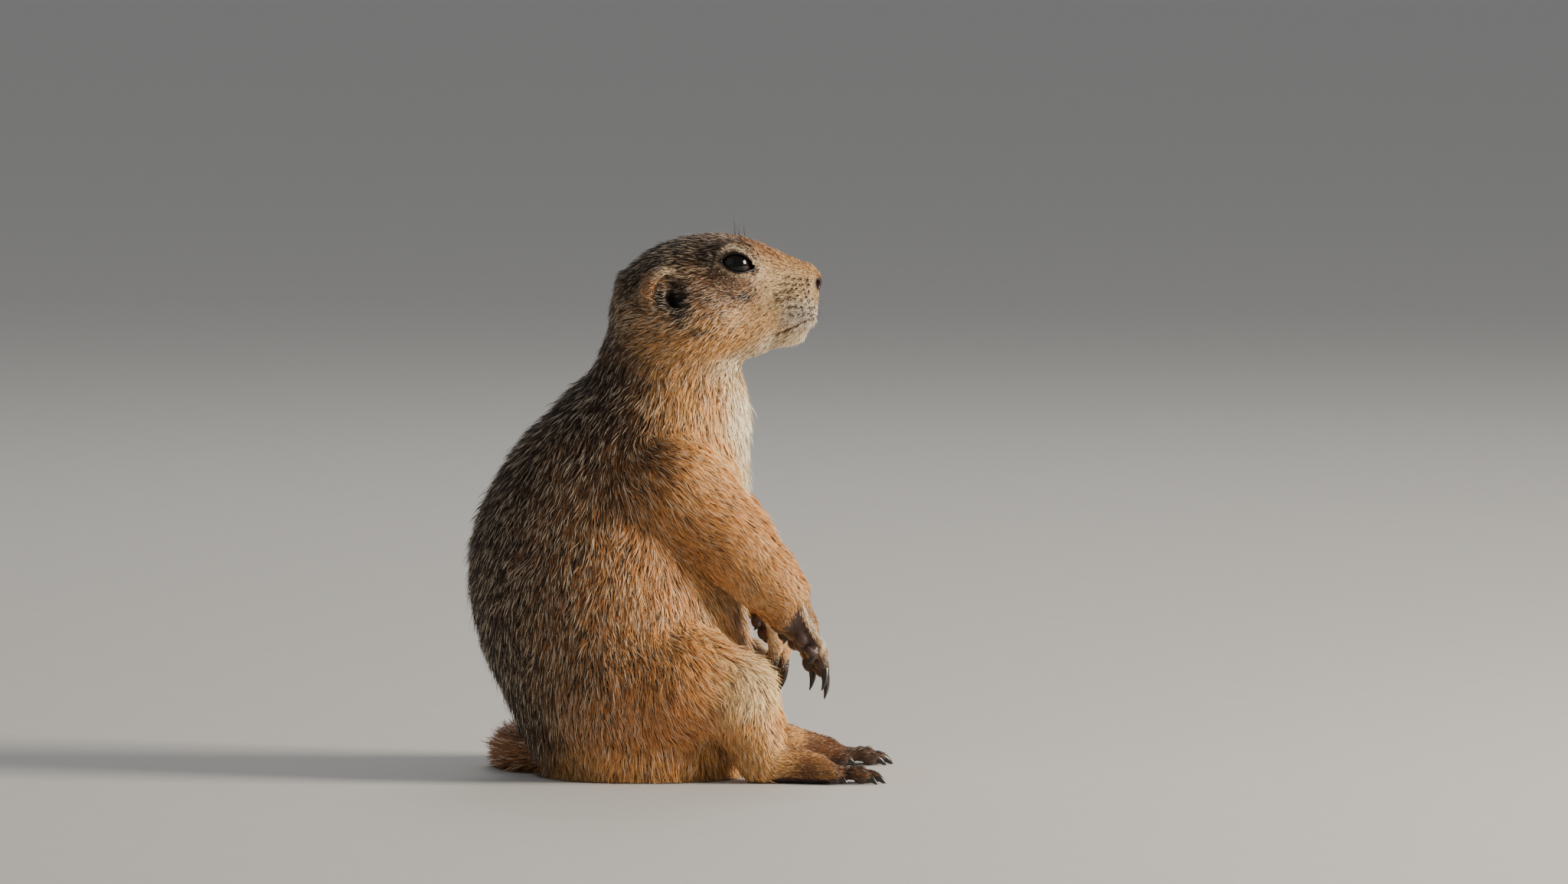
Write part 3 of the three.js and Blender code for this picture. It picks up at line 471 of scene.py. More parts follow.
@dataclass(frozen=True)
class Head:
    """The head: its slices and masses, the eyes' sockets, lips, nose and ears."""

    eye: EyeSocket = EyeSocket()
    mouth: Mouth = Mouth()
    ear: Ear = Ear()
    nostril_at: Triple = (69.6, 4.9, 209.2)
    nostril_half: Triple = (2.7, 1.3, 1.8)
    nostril_tilt: float = 38.0
    coat: float = 1.5
    bare_coat: float = 0.12
    reach: Tuple[Triple, Triple] = ((-26, -38, 160), (84, 38, 240))

    def coat_depth(self, p: Array) -> Array:
        """The coat's depth on the head, which thins towards the nose, the lips and the eyes."""
        depth = self.bare_coat + (self.coat - self.bare_coat) * smoothstep(71, 26, p[:, 0])
        return depth * (0.1 + 0.9 * smoothstep(6, 15, self.eye.front_distance(p)))

    def form(self, p: Array) -> Array:
        """How far points lie outside the head's plain form, without lids, lips and nose.

        Args:
            p: Points with y counted outwards.

        Returns:
            Distances, negative inside.
        """
        d = HEAD.outside(p)
        for mass in HEAD_MASSES:
            d = blend(d, mass.outside(p), mass.soft)
        return d + self.coat_depth(p)

    def lips(self, p: Array, d: Array) -> Array:
        """Adds the lips, the groove between them and the cleft under the nose.

        Args:
            p: Points with y counted outwards.
            d: How far they lie outside the plain form.

        Returns:
            The distances with the lips.
        """
        mouth = self.mouth
        above = p[:, 2] - mouth.line(p[:, 0])
        front = smoothstep(mouth.places[0] - 1.0, mouth.places[2], p[:, 0])
        d = d - 0.55 * front * (bump(above, 1.7, 1.3) + 0.85 * bump(above, -1.5, 1.2))
        side = smoothstep(44, 56, p[:, 0]) * smoothstep(0, 5, p[:, 1])
        d = d - 0.35 * side * bump(above, 8.5, 5)
        corner = np.hypot(p[:, 0] - mouth.places[0], above)
        d = d + 0.5 * np.exp(-((corner / 2.4) ** 2)) * smoothstep(4, 8, p[:, 1])
        slot = np.maximum(np.abs(above) - mouth.wide, -(d + mouth.deep * front))
        d = np.where(p[:, 0] > mouth.places[0], carve(d, slot, 0.5), d)
        cleft = smoothstep(64, 67, p[:, 0]) * smoothstep(0.4, 2, above)
        cleft = cleft * smoothstep(207, 203.5, p[:, 2])
        return d + 0.9 * cleft * bump(p[:, 1], 0, 0.6)

    def nose(self, p: Array, d: Array) -> Array:
        """Adds the nostrils, their wings and the line between them.

        Args:
            p: Points with y counted outwards.
            d: How far they lie outside the head.

        Returns:
            The distances with the nose.
        """
        x, y, z = (p - np.array(self.nostril_at)).T
        tilt = np.radians(self.nostril_tilt)
        ahead = x * np.cos(tilt) - z * np.sin(tilt)
        up = x * np.sin(tilt) + z * np.cos(tilt)
        turned = np.stack([ahead, y + 0.25 * x, up], axis=-1)
        hole = outside_oval(turned, (0, 0, 0), self.nostril_half)
        d = d - 0.5 * np.exp(-(((hole - 1.1) / 0.8) ** 2)) * smoothstep(63, 67, p[:, 0])
        d = carve(d, hole, 0.5)
        pad = smoothstep(69, 71.5, p[:, 0]) * smoothstep(203.5, 206, p[:, 2])
        return d + 0.45 * pad * bump(p[:, 1], 0, 0.45)

    def lids(self, p: Array, d: Array) -> Array:
        """Adds the lids over the ball of the eye, with their folds, and opens them.

        Args:
            p: Points with y counted outwards.
            d: How far they lie outside the head.

        Returns:
            The distances with the lids.
        """
        eye = self.eye
        away = away_from(p, eye.at)
        d = blend(d, away - eye.radius - eye.lid, 4.6)
        outside, above, depth = eye.lids(p)
        near = smoothstep(17, 11, away) * smoothstep(0, 3, depth)
        upper = smoothstep(-0.4, 0.8, above)
        d = d + 0.45 * near * upper * bump(outside, 2.5, 0.55)
        d = d - 0.35 * near * upper * bump(outside, 3.7, 0.8)
        d = d + 0.3 * near * (1.0 - upper) * bump(outside, 2.9, 0.6)
        d = d - 0.25 * near * bump(outside, 0.8, 0.7)
        opening = np.maximum.reduce([outside, eye.radius - eye.bed - away, 2.0 - depth])
        return carve(d, opening, eye.rim)

    def outside(self, p: Array) -> Array:
        """How far points lie outside the head's skin.

        Args:
            p: Points.

        Returns:
            Distances, negative inside.
        """
        q = folded(p)
        d = self.lips(q, self.lids(q, self.form(q)))
        d = blend(d, self.ear.outside(q), 2.2)
        d = carve(d, self.ear.pit.outside(q), self.ear.pit.soft)
        return self.nose(q, d)


@dataclass(frozen=True)
class PawFrame:
    """A paw's own frame: along the paw, across it towards the outer toe, and up from the palm or sole."""

    origin: Array
    axes: Array

    @classmethod
    def at(cls, origin: Triple, along: Triple, up: Triple, side: float) -> "PawFrame":
        """Sets up a frame.

        Args:
            origin: Its origin.
            along: The way along the paw.
            up: The way up from the palm or sole, about.
            side: 1 for the left side, -1 for the right.

        Returns:
            The frame.
        """
        a = unit(np.array(along, float))
        u = np.array(up, float)
        u = unit(u - a * (a @ u))
        across = np.cross(a, u)
        if across[1] * side < 0:
            across = -across
        return cls(np.array(origin, float), np.stack([a, across, u]))

    def local(self, p: Array) -> Array:
        """Points in the paw's frame."""
        return (p - self.origin) @ self.axes.T

    def world(self, q: Array) -> Array:
        """Points of the paw's frame in the animal's."""
        return np.asarray(q) @ self.axes + self.origin

    def turn(self, q: Array) -> Array:
        """Directions of the paw's frame in the animal's."""
        return np.asarray(q) @ self.axes


@dataclass(frozen=True)
class Digit:
    """A finger or toe: its root, its length from there, its spread and curl, and its claw's length."""

    name: str
    root: Triple
    length: float
    spread: float
    curl: float
    radius: float
    claw: float

    def joints(self) -> Array:
        """The digit's joints in its paw's frame.

        Returns:
            Root, knuckle and tip.
        """
        spread = np.radians(self.spread)
        joints = [np.array(self.root, float)]
        for share, bend in ((0.55, 0.3), (0.45, 1.6)):
            down = np.radians(self.curl * bend)
            way = np.array([np.cos(down) * np.cos(spread), np.cos(down) * np.sin(spread), -np.sin(down)])
            joints.append(joints[-1] + self.length * share * way)
        return np.stack(joints)

    def outside(self, q: Array) -> Array:
        """How far points lie outside the digit, with the swelling at its knuckle and the pad under its tip.

        Args:
            q: Points in the paw's frame.

        Returns:
            Distances, negative inside.
        """
        root, knuckle, tip = self.joints()
        r = self.radius
        near = outside_bone(q, [*root, r], [*knuckle, r * 0.94])
        far = outside_bone(q, [*knuckle, r * 0.94], [*tip, r * 0.84])
        d = blend(near, far, 0.8)
        d = blend(d, outside_oval(q, knuckle + [0, 0, r * 0.2], (r * 1.05, r * 0.98, r * 0.95)), 0.8)
        pad = outside_oval(q, tip + [-r * 0.5, 0, -r * 0.45], (r * 1.15, r * 0.85, r * 0.8))
        d = blend(d, pad, 0.8)
        folds = bump(q[:, 0] - knuckle[0], 1.6, 0.35) + bump(q[:, 0] - knuckle[0], 2.8, 0.3)
        return d + 0.12 * folds


@dataclass(frozen=True)
class Hand:
    """A hand past its wrist, with its pads."""

    palm: Mass = Mass((9, 0, 0.8), (12, 7.6, 5.8))
    wrist: Joints = ((-5, 0, 0, 10.2), (7, 0.2, 0.2, 7.5))
    digits: Tuple[Digit, ...] = (
        Digit("1", (6.5, -6.2, -3), 5, -32, 12, 2.4, 3.4),
        Digit("2", (15.5, -5.2, 0), 12, -9, 10, 2.8, 10.5),
        Digit("3", (17.5, -1.6, 0.8), 13.5, -2, 7, 3, 12.5),
        Digit("4", (16.5, 2.3, 0.6), 12.5, 6, 13, 2.9, 11.5),
        Digit("5", (13, 5.9, -0.6), 10, 12, 28, 2.8, 6.5),
    )
    pads: Tuple[Mass, ...] = (
        Mass((3, 3.6, -6), (5.2, 3.8, 4.2)),
        Mass((4, -3.8, -5.6), (4.8, 3.5, 3.8)),
        Mass((14, 4.9, -4.4), (3.8, 3.2, 3.2)),
        Mass((16, 0, -4), (3.7, 3.1, 3.1)),
        Mass((14.5, -4.7, -4), (3.5, 2.9, 2.9)),
    )
    coat: float = 0.25

    @staticmethod
    def palm_height(q: Array) -> Array:
        """How far points lie above the edge of the bare palm."""
        return q[:, 2] + 0.12 * q[:, 0] - 0.3

    def outside(self, q: Array) -> Array:
        """How far points lie outside the hand's skin.

        Args:
            q: Points in the hand's frame.

        Returns:
            Distances, negative inside.
        """
        d = blend(self.palm.outside(q), outside_bone(q, *self.wrist), 5)
        for pad in self.pads:
            d = blend(d, pad.outside(q), 0.7)
        for digit in self.digits:
            d = blend(d, digit.outside(q), 1.1)
        return d + self.coat


@dataclass(frozen=True)
class Foot:
    """A hind foot from the heel to the toes."""

    sole: Joints = ((2, 0, -0.2, 7.4), (22, 0, -1.4, 6))
    instep: Joints = ((4, 0, 3.4, 9), (21, -0.4, -0.6, 6.4))
    ball: Mass = Mass((26, 0, -2.6), (12, 8.8, 4.8))
    digits: Tuple[Digit, ...] = (
        Digit("1", (22, -6.4, -2.7), 8, -13, 5, 2.7, 5),
        Digit("2", (31, -5, -2.1), 11.5, -6, 7, 2.9, 7),
        Digit("3", (33, -1.2, -1.9), 13, -1, 7, 3, 7.6),
        Digit("4", (31.5, 2.8, -2), 12, 5, 7, 2.9, 7.2),
        Digit("5", (23.5, 6.4, -2.7), 9, 12, 5, 2.7, 5.5),
    )
    coat: float = 0.5

    def outside(self, q: Array) -> Array:
        """How far points lie outside the foot's skin.

        Args:
            q: Points in the foot's frame.

        Returns:
            Distances, negative inside.
        """
        d = blend(outside_bone(q, *self.sole), outside_bone(q, *self.instep), 5)
        d = blend(d, self.ball.outside(q), 4)
        for digit in self.digits:
            d = blend(d, digit.outside(q), 1.2)
        return d + self.coat


@dataclass(frozen=True)
class Foreleg:
    """A foreleg's joints as x, distance from the middle plane, z and radius, and the way its hand points."""

    side: float
    upper: Joints
    lower: Joints
    along: Triple
    palm: Triple
    hand: Hand = Hand()
    coat: float = 1.3

    def frame(self) -> PawFrame:
        """The hand's frame, with its origin at the wrist."""
        wrist, turn = mirrored(self.lower, self.side)[-1], to_side(self.side)
        return PawFrame.at(wrist[:3], np.array(self.along) * turn, -np.array(self.palm) * turn, self.side)


FORELEGS = {
    "right": Foreleg(
        side=-1.0,
        upper=((8, 27, 127, 20.5), (35, 28, 99, 17.5)),
        lower=((35, 28, 99, 17.5), (46.5, 28.5, 87.5, 14), (54.5, 28, 78.5, 11.4), (58, 27.6, 73, 9.4)),
        along=(0.53, -0.03, -0.848),
        palm=(-0.76, 0.469, -0.45),
    ),
    "left": Foreleg(
        side=1.0,
        upper=((8, 27, 127, 20.5), (33, 30, 99, 17.5)),
        lower=((33, 30, 99, 17.5), (41, 30, 88, 14), (47, 28.5, 78.5, 11.4), (49, 27.5, 73, 9.4)),
        along=(0.27, -0.16, -0.95),
        palm=(-0.9, 0.3, -0.3),
    ),
}


@dataclass(frozen=True)
class Hindleg:
    """A hind leg: haunch and shank as joints, its heel and how far its foot turns out."""

    side: float
    heel: Triple
    toes_out: float
    haunch: Joints = ((-16, 33, 43, 25.5), (14, 37, 43, 22), (35, 40.5, 38.5, 16))
    shank: Joints = ((35, 40.5, 38.5, 16), (47, 38.5, 12, 12.5))
    foot: Foot = Foot()
    coat: float = 1.9

    def frame(self) -> PawFrame:
        """The foot's frame, with its origin at the heel."""
        heel, turn = mirrored([self.heel], self.side)[0], np.radians(self.toes_out)
        return PawFrame.at(heel, (np.cos(turn), np.sin(turn) * self.side, 0.0), (0, 0, 1), self.side)

    def outside(self, p: Array) -> Array:
        """How far points lie outside the haunch and shank."""
        thigh = outside_limb(p, mirrored(self.haunch, self.side), 8)
        return blend(thigh, outside_limb(p, mirrored(self.shank, self.side), 8), 5)


HINDLEGS = {
    "right": Hindleg(side=-1.0, heel=(48, 38.5, 6.4), toes_out=7),
    "left": Hindleg(side=1.0, heel=(52, 37.5, 6.4), toes_out=11),
}


@dataclass(frozen=True)
class Tail:
    """The tail's line on the floor from root to tip, and the half width and height of its flesh along it."""

    line: Tuple[Triple, ...] = (
        (-34, 0, 12),
        (-48, 6, 8.5),
        (-56, 22, 7.5),
        (-57, 42, 7),
        (-52, 59, 6.6),
        (-45, 71, 6),
    )
    places: Tuple[float, ...] = (0, 0.2, 0.45, 0.7, 0.88, 1)
    radii: Tuple[float, ...] = (7.0, 5.8, 4.6, 4.0, 2.8, 1.2)
    steps: int = 40

    def path(self) -> Tuple[Array, Array]:
        """The tail's line as even points.

        Returns:
            Points from root to tip, and the flesh's radius at each.
        """
        knots = np.array(self.line, float)
        gaps = np.linalg.norm(np.diff(knots, axis=0), axis=1)
        at = np.concatenate([[0.0], np.cumsum(gaps)]) / gaps.sum()
        t = np.linspace(0.0, 1.0, self.steps)
        points = np.stack([hermite(at, knots[:, k], t) for k in range(3)], axis=-1)
        return points, np.interp(t, self.places, self.radii)

    def place(self, p: Array) -> Tuple[Array, Array, Array]:
        """Where points lie along the tail.

        Args:
            p: Points.

        Returns:
            The share of the way to the tip, the distance from the flesh, and the way on to the tip.
        """
        points, radii = self.path()
        best = np.full(len(p), np.inf)
        share = np.zeros(len(p))
        way = np.zeros((len(p), 3))
        for n in range(len(points) - 1):
            t, far = bone_place(p, points[n], points[n + 1])
            far = far - (radii[n] + (radii[n + 1] - radii[n]) * t)
            nearer = far < best
            best = np.where(nearer, far, best)
            share = np.where(nearer, (n + t) / (len(points) - 1), share)
            way[nearer] = unit(points[n + 1] - points[n])
        return share, best, way


def reach_of(points: Array, margin: float) -> Box:
    """The box round some points."""
    points = np.asarray(points, float)[:, :3]
    return points.min(0) - margin, points.max(0) + margin


@dataclass(frozen=True)
class Anatomy:
    """The whole animal's skin as one form: how far a point lies outside it."""

    head: Head = Head()
    tail: Tail = Tail()
    coat: float = 2.1
    floor_flat: float = 0.25

    def trunk(self, p: Array) -> Array:
        """How far points lie outside the trunk's skin, with the soft folds of the neck.

        Args:
            p: Points.

        Returns:
            Distances, negative inside.
        """
        d = TRUNK.outside(p) + self.coat
        z = p[:, 2]
        ripple = bump(z, 171, 5) - 0.7 * bump(z, 163, 4.5) + 0.5 * bump(z, 154, 4)
        return d + 0.5 * ripple * smoothstep(30, -10, p[:, 0])

    def parts(self) -> List[Tuple[Box, Form, Form]]:
        """The forms that join the trunk.

        Returns:
            For each the box in which it matters, its distance and how softly it blends at each point.
        """

        def constant(soft: float) -> Form:
            """A crease of one size."""
            return lambda p: np.full(len(p), soft)

        low, high = self.head.reach
        parts = [((np.array(low, float), np.array(high, float)), self.head.outside, constant(9.0))]
        for leg in FORELEGS.values():
            upper, lower = mirrored(leg.upper, leg.side), mirrored(leg.lower, leg.side)
            arm = lambda p, j=upper, c=leg.coat: outside_limb(p, j, 4) + c
            forearm = lambda p, j=lower, c=leg.coat: self.forearm(p, j, c)
            parts.append((reach_of(upper, 32), arm, lambda p: np.clip((p[:, 2] - 90) * 0.24, 1.0, 10)))
            parts.append((reach_of(lower, 28), forearm, constant(1.4)))
        for leg in HINDLEGS.values():
            joints = mirrored(leg.haunch + leg.shank, leg.side)
            parts.append((reach_of(joints, 38), lambda p, g=leg: g.outside(p) + g.coat, constant(8.0)))
        for leg in FORELEGS.values():
            parts.append(self.paw(leg.frame(), leg.hand.outside, (-16, -16, -14), (40, 16, 13), 1.6))
        for leg in HINDLEGS.values():
            parts.append(self.paw(leg.frame(), leg.foot.outside, (-16, -18, -14), (54, 18, 20), 2.5))
        line, _ = self.tail.path()
        parts.append((reach_of(line, 14), lambda p: self.tail.place(p)[1], constant(4.0)))
        return parts

    @staticmethod
    def forearm(p: Array, joints: Joints, coat: float) -> Array:
        """How far points lie outside a forearm's skin, whose coat thins towards the wrist."""
        t, _ = bone_place(p, joints[0], joints[-1])
        return outside_limb(p, joints, 5) + coat * (1.0 - 0.7 * t)

    @staticmethod
    def paw(place: PawFrame, form: Form, low: Triple, high: Triple, soft: float) -> Tuple[Box, Form, Form]:
        """A paw's box, distance and crease in the animal's frame, from those in the paw's own."""
        box = reach_of(place.world(Lattice.grid(*zip(low, high))), 2)
        return box, lambda p: form(place.local(p)), lambda p: np.full(len(p), soft)

    def outside(self, p: Array) -> Array:
        """How far points lie outside the skin.

        Args:
            p: Points.

        Returns:
            Distances, negative inside.
        """
        d = self.trunk(p)
        for (low, high), form, soft in self.parts():
            near = np.all((p > low) & (p < high), axis=1)
            if near.any():
                q = p[near]
                d[near] = blend(d[near], form(q), soft(q))
        return np.maximum(d, self.floor_flat - p[:, 2])


# Meshing


@dataclass(frozen=True)
class Frame:
    """Where the animal's own frame stands in the row frame, found from an eye of the CAD model."""

    shift: Triple

    @classmethod
    def from_cad(cls) -> "Frame":
        """Finds the frame in which the right eye's ball lies where its CAD node does."""
        low, high = np.array(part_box("eye_right")) / MM
        return cls(tuple((low + high) / 2 - np.array(EyeSocket().at) * to_side(SIDES["right"])))

    def metres(self, p: Array) -> Array:
        """Points in the row frame."""
        return (np.asarray(p) + np.array(self.shift)) * MM


@dataclass(frozen=True)
class Lattice:
    """A lattice of distances round the animal, worked out only near its skin."""

    low: Triple = (-84.0, -68.0, -2.8)
    cell: float = 0.7
    step: int = 4
    leap: int = 4
    blocks: Triple = (17, 15, 22)
    far: float = 3.0
    adaptivity: float = 0.12

    def places(self, index: Array) -> Array:
        """The points of the lattice."""
        return np.array(self.low) + index * self.cell

    @staticmethod
    def grid(*places: Sequence[float]) -> Array:
        """All the points of a grid, from the places along each axis."""
        return np.stack(np.meshgrid(*places, indexing="ij"), axis=-1).reshape(-1, 3)

    def inner(self, starts: Array, size: int, count: int) -> Array:
        """The smaller blocks or the points in some blocks, which are size apart and count on each axis."""
        offsets = self.grid(*[np.arange(count) * size] * 3)
        return (starts[:, None, :] + offsets[None]).reshape(-1, 3)

    def fill(self, outside: Form) -> Array:
        """Works out the distances.

        Args:
            outside: How far a point lies outside the skin.

        Returns:
            The lattice of distances, which hold far or its negative away from the skin.
        """
        big = self.step * self.leap
        shape = [int(n) * big for n in self.blocks]
        values = np.full(shape, self.far, np.float32)
        starts = self.grid(*[np.arange(0, n, big) for n in shape])
        for size, count, slack in ((big, self.leap, 7.0), (self.step, self.step, 2.6)):
            d = outside(self.places(starts + (size - 1) / 2))
            near = np.abs(d) < size * self.cell * 0.87 + slack
            for i, j, k in starts[~near & (d < 0)]:
                values[i : i + size, j : j + size, k : k + size] = -self.far
            starts = self.inner(starts[near], size // count, count)
        d = np.clip(outside(self.places(starts)), -self.far, self.far)
        values[starts[:, 0], starts[:, 1], starts[:, 2]] = d
        return values

    def surface(self, values: Array) -> Tuple[Array, List[Array]]:
        """The surface where the distance is nought.

        Args:
            values: The lattice of distances.

        Returns:
            Its points and its faces, triangles and then quads.
        """
        grid = openvdb.FloatGrid(self.far)
        grid.copyFromArray(values)
        points, triangles, quads = grid.convertToPolygons(0.0, self.adaptivity)
        return self.places(points.astype(float)), [triangles.astype(np.int64), quads.astype(np.int64)]


def project(points: Array, outside: Form, rounds: int = 2, most: float = 0.6) -> Array:
    """Moves points onto a surface down its slope.

    Args:
        points: The points, near the surface.
        outside: How far a point lies outside it.
        rounds: How many steps are made.
        most: The longest step.

    Returns:
        The moved points.
    """
    e = 0.04
    p = points.copy()
    for _ in range(rounds):
        value = outside(p)
        slope = np.stack([(outside(p + np.eye(3)[k] * e) - value) / e for k in range(3)], axis=-1)
        size = np.maximum((slope**2).sum(-1), 0.2)
        step = -0.9 * value / size
        move = slope * step[:, None]
        length = np.linalg.norm(move, axis=-1, keepdims=True)
        p += move * np.minimum(1.0, most / np.maximum(length, 1e-9))
    return p


def make_mesh(name: str, points: Array, faces: Sequence[Array], smooth: bool = True) -> Piece:
    """Makes a mesh object from arrays.

    Args:
        name: The object's name.
        points: Points in metres.
        faces: Arrays of faces, each with its own number of corners.
        smooth: Whether it is shaded smooth.

    Returns:
        The object, linked to the scene.
    """
    mesh = bpy.data.meshes.new(name)
    faces = [f for f in faces if len(f)]
    loops = np.concatenate([f.ravel() for f in faces]).astype(np.int32)
    sizes = np.concatenate([np.full(len(f), f.shape[1]) for f in faces]).astype(np.int32)
    starts = np.concatenate([[0], np.cumsum(sizes)[:-1]]).astype(np.int32)
    mesh.vertices.add(len(points))
    mesh.vertices.foreach_set("co", np.ascontiguousarray(points, np.float32).ravel())
    mesh.loops.add(len(loops))
    mesh.loops.foreach_set("vertex_index", loops)
    mesh.polygons.add(len(sizes))
    mesh.polygons.foreach_set("loop_start", starts)
    mesh.polygons.foreach_set("use_smooth", np.full(len(sizes), smooth))
    mesh.update(calc_edges=True)
    piece = bpy.data.objects.new(name, mesh)
    bpy.context.scene.collection.objects.link(piece)
    return piece


class Part:
    """A part of the animal, whose methods build its pieces and dress them."""

    slot: ClassVar[Slot] = Slot.FUR

    def dress(self, piece: Piece, material: bpy.types.Material, nodes: Sequence[str] = ()) -> None:
        """Gives a piece its material and its body, and hides the CAD nodes that it stands for.

        Args:
            piece: The piece.
            material: Its material.
            nodes: The CAD nodes that it replaces.
        """
        piece.data.materials.clear()
        piece.data.materials.append(material)
        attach(piece, BODY)
        if nodes:
            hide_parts(*nodes)
        log.info("%s: %d faces", piece.name, len(piece.data.polygons))


def read(items: bpy.types.bpy_prop_collection, name: str, kind: type) -> Array:
    """Reads three numbers from each item of a mesh.

    Args:
        items: Its points or triangles.
        name: What is read.
        kind: The numbers' type in the mesh.

    Returns:
        One row for each item.
    """
    values = np.empty(len(items) * 3, kind)
    items.foreach_get(name, values)
    return values.reshape(-1, 3)


@dataclass
class Skin(Part):
    """One skin over the whole animal, with finer faces round the eyes, on the lips and on the nose."""

    anatomy: Anatomy
    place: Frame
    lattice: Lattice = Lattice()
    # Painted shade: the coat's colours are darkened by this share on the skin under the hair.
    shade_under_hair: float = 0.62
    points: Array = field(default=None, repr=False)

    def fine_zones(self, p: Array) -> Array:
        """Which points lie where the skin needs finer faces.

        Args:
            p: Points.

        Returns:
            True for those round the eyes, the lips and the nose.
        """
        q = folded(p)
        eye = self.anatomy.head.eye
        ahead, up, out = eye.axes()
        r = q - np.array(eye.at)
        round_eye = (np.hypot(r @ ahead / 1.15, r @ up) < 9) & (r @ out > 2)
        above = q[:, 2] - self.anatomy.head.mouth.line(q[:, 0])
        lips = (q[:, 0] > 48.5) & (np.abs(above) < 2.6)
        nose = (q[:, 0] > 66) & (q[:, 2] > 195)
        return round_eye | lips | nose

    def build(self) -> Piece:
        """Builds the skin.

        Returns:
            The skin's object.
        """
        values = self.lattice.fill(self.anatomy.outside)
        points, faces = self.lattice.surface(values)
        log.info("skin: %d points, %d triangles and %d quads", len(points), len(faces[0]), len(faces[1]))
        points = project(points, self.anatomy.outside)
        piece = make_mesh("skin", points, faces)
        self.refine(piece)
        mesh = piece.data
        points = read(mesh.vertices, "co", np.float32).astype(float)
        fine = self.fine_zones(points)
        points[fine] = project(points[fine], self.anatomy.outside, rounds=3, most=0.3)
        self.points = points
        mesh.vertices.foreach_set("co", self.place.metres(points).astype(np.float32).ravel())
        mesh.update()
        return piece

    def refine(self, piece: Piece) -> None:
        """Cuts the faces in the fine zones into smaller ones.

        Args:
            piece: The skin, still in the animal's own frame.
        """
        made = bmesh.new()
        made.from_mesh(piece.data)
        centres = np.array([f.calc_center_median() for f in made.faces])
        fine = self.fine_zones(centres)
        edges = {e for f, chosen in zip(made.faces, fine) if chosen for e in f.edges}
        bmesh.ops.subdivide_edges(made, edges=list(edges), cuts=1, use_grid_fill=True)
        bmesh.ops.triangulate(made, faces=[f for f in made.faces if len(f.verts) > 4])
        made.to_mesh(piece.data)
        made.free()

    def colours(self, markings_and_shade: "MarkingsAndShade", lie: "Lie") -> Array:
        """The skin's colours: the coat's own, darkened as painted shade under the hair, where it is furred,
        and bare skin's where it isn't, with painted shade in the ear's pit.

        Args:
            markings_and_shade: The coat's colours, with their painted shade and light.
            lie: Where the skin is bare.

        Returns:
            Linear colours, with how bare the skin is as a fourth value.
        """
        palette = markings_and_shade.palette
        head = self.anatomy.head
        points = self.points
        furred = linear(markings_and_shade.coat(points) * self.shade_under_hair)
        q = folded(points)
        bare = np.tile(linear(palette.of("palm")), (len(points), 1))
        high = points[:, 2] > 160
        near_eye = away_from(q, head.eye.at) < 12.5
        nose = (q[:, 0] > 66) & (q[:, 2] > 202)
        lips = (q[:, 0] > 48) & (q[:, 2] < 200)
        bare[high] = linear(palette.of("ear") * 0.5)
        bare[high & lips] = linear(palette.of("mouth"))
        bare[high & nose] = linear(palette.of("nose"))
        bare[high & near_eye] = linear(palette.of("lid"))
        share = lie.bare(points)[:, None]
        colours = mixed(furred, bare, share)
        pads = np.zeros(len(points))
        for leg in FORELEGS.values():
            local = leg.frame().local(points)
            near = np.min([pad.outside(local) for pad in leg.hand.pads], axis=0)
            pads = np.maximum(pads, smoothstep(1.2, -0.4, near))
        colours = mixed(colours, linear(palette.of("pad")), 0.6 * pads[:, None] * share)
        # Painted shade: the ear's pit is darkened.
        hole = smoothstep(0.6, -1.2, head.ear.pit.outside(q))[:, None]
        return np.concatenate([colours * (1 - 0.9 * hole), share], axis=1)


# Studio


@dataclass(frozen=True)
class Lamp:
    """A soft square lamp: its name, its place and side in metres, its power in watts and its colour."""

    name: str
    at: Triple
    side: float
    power: float
    colour: Colour

    def build(self, aim: Triple) -> None:
        """Adds the lamp.

        Args:
            aim: The point that it faces.
        """
        data = bpy.data.lights.new(self.name, "AREA")
        data.shape = "SQUARE"
        data.size = self.side
        data.energy = self.power
        data.color = self.colour
        lamp = bpy.data.objects.new(self.name, data)
        lamp.location = self.at
        lamp.rotation_euler = (Vector(self.at) - Vector(aim)).to_track_quat("Z", "Y").to_euler()
        bpy.context.scene.collection.objects.link(lamp)


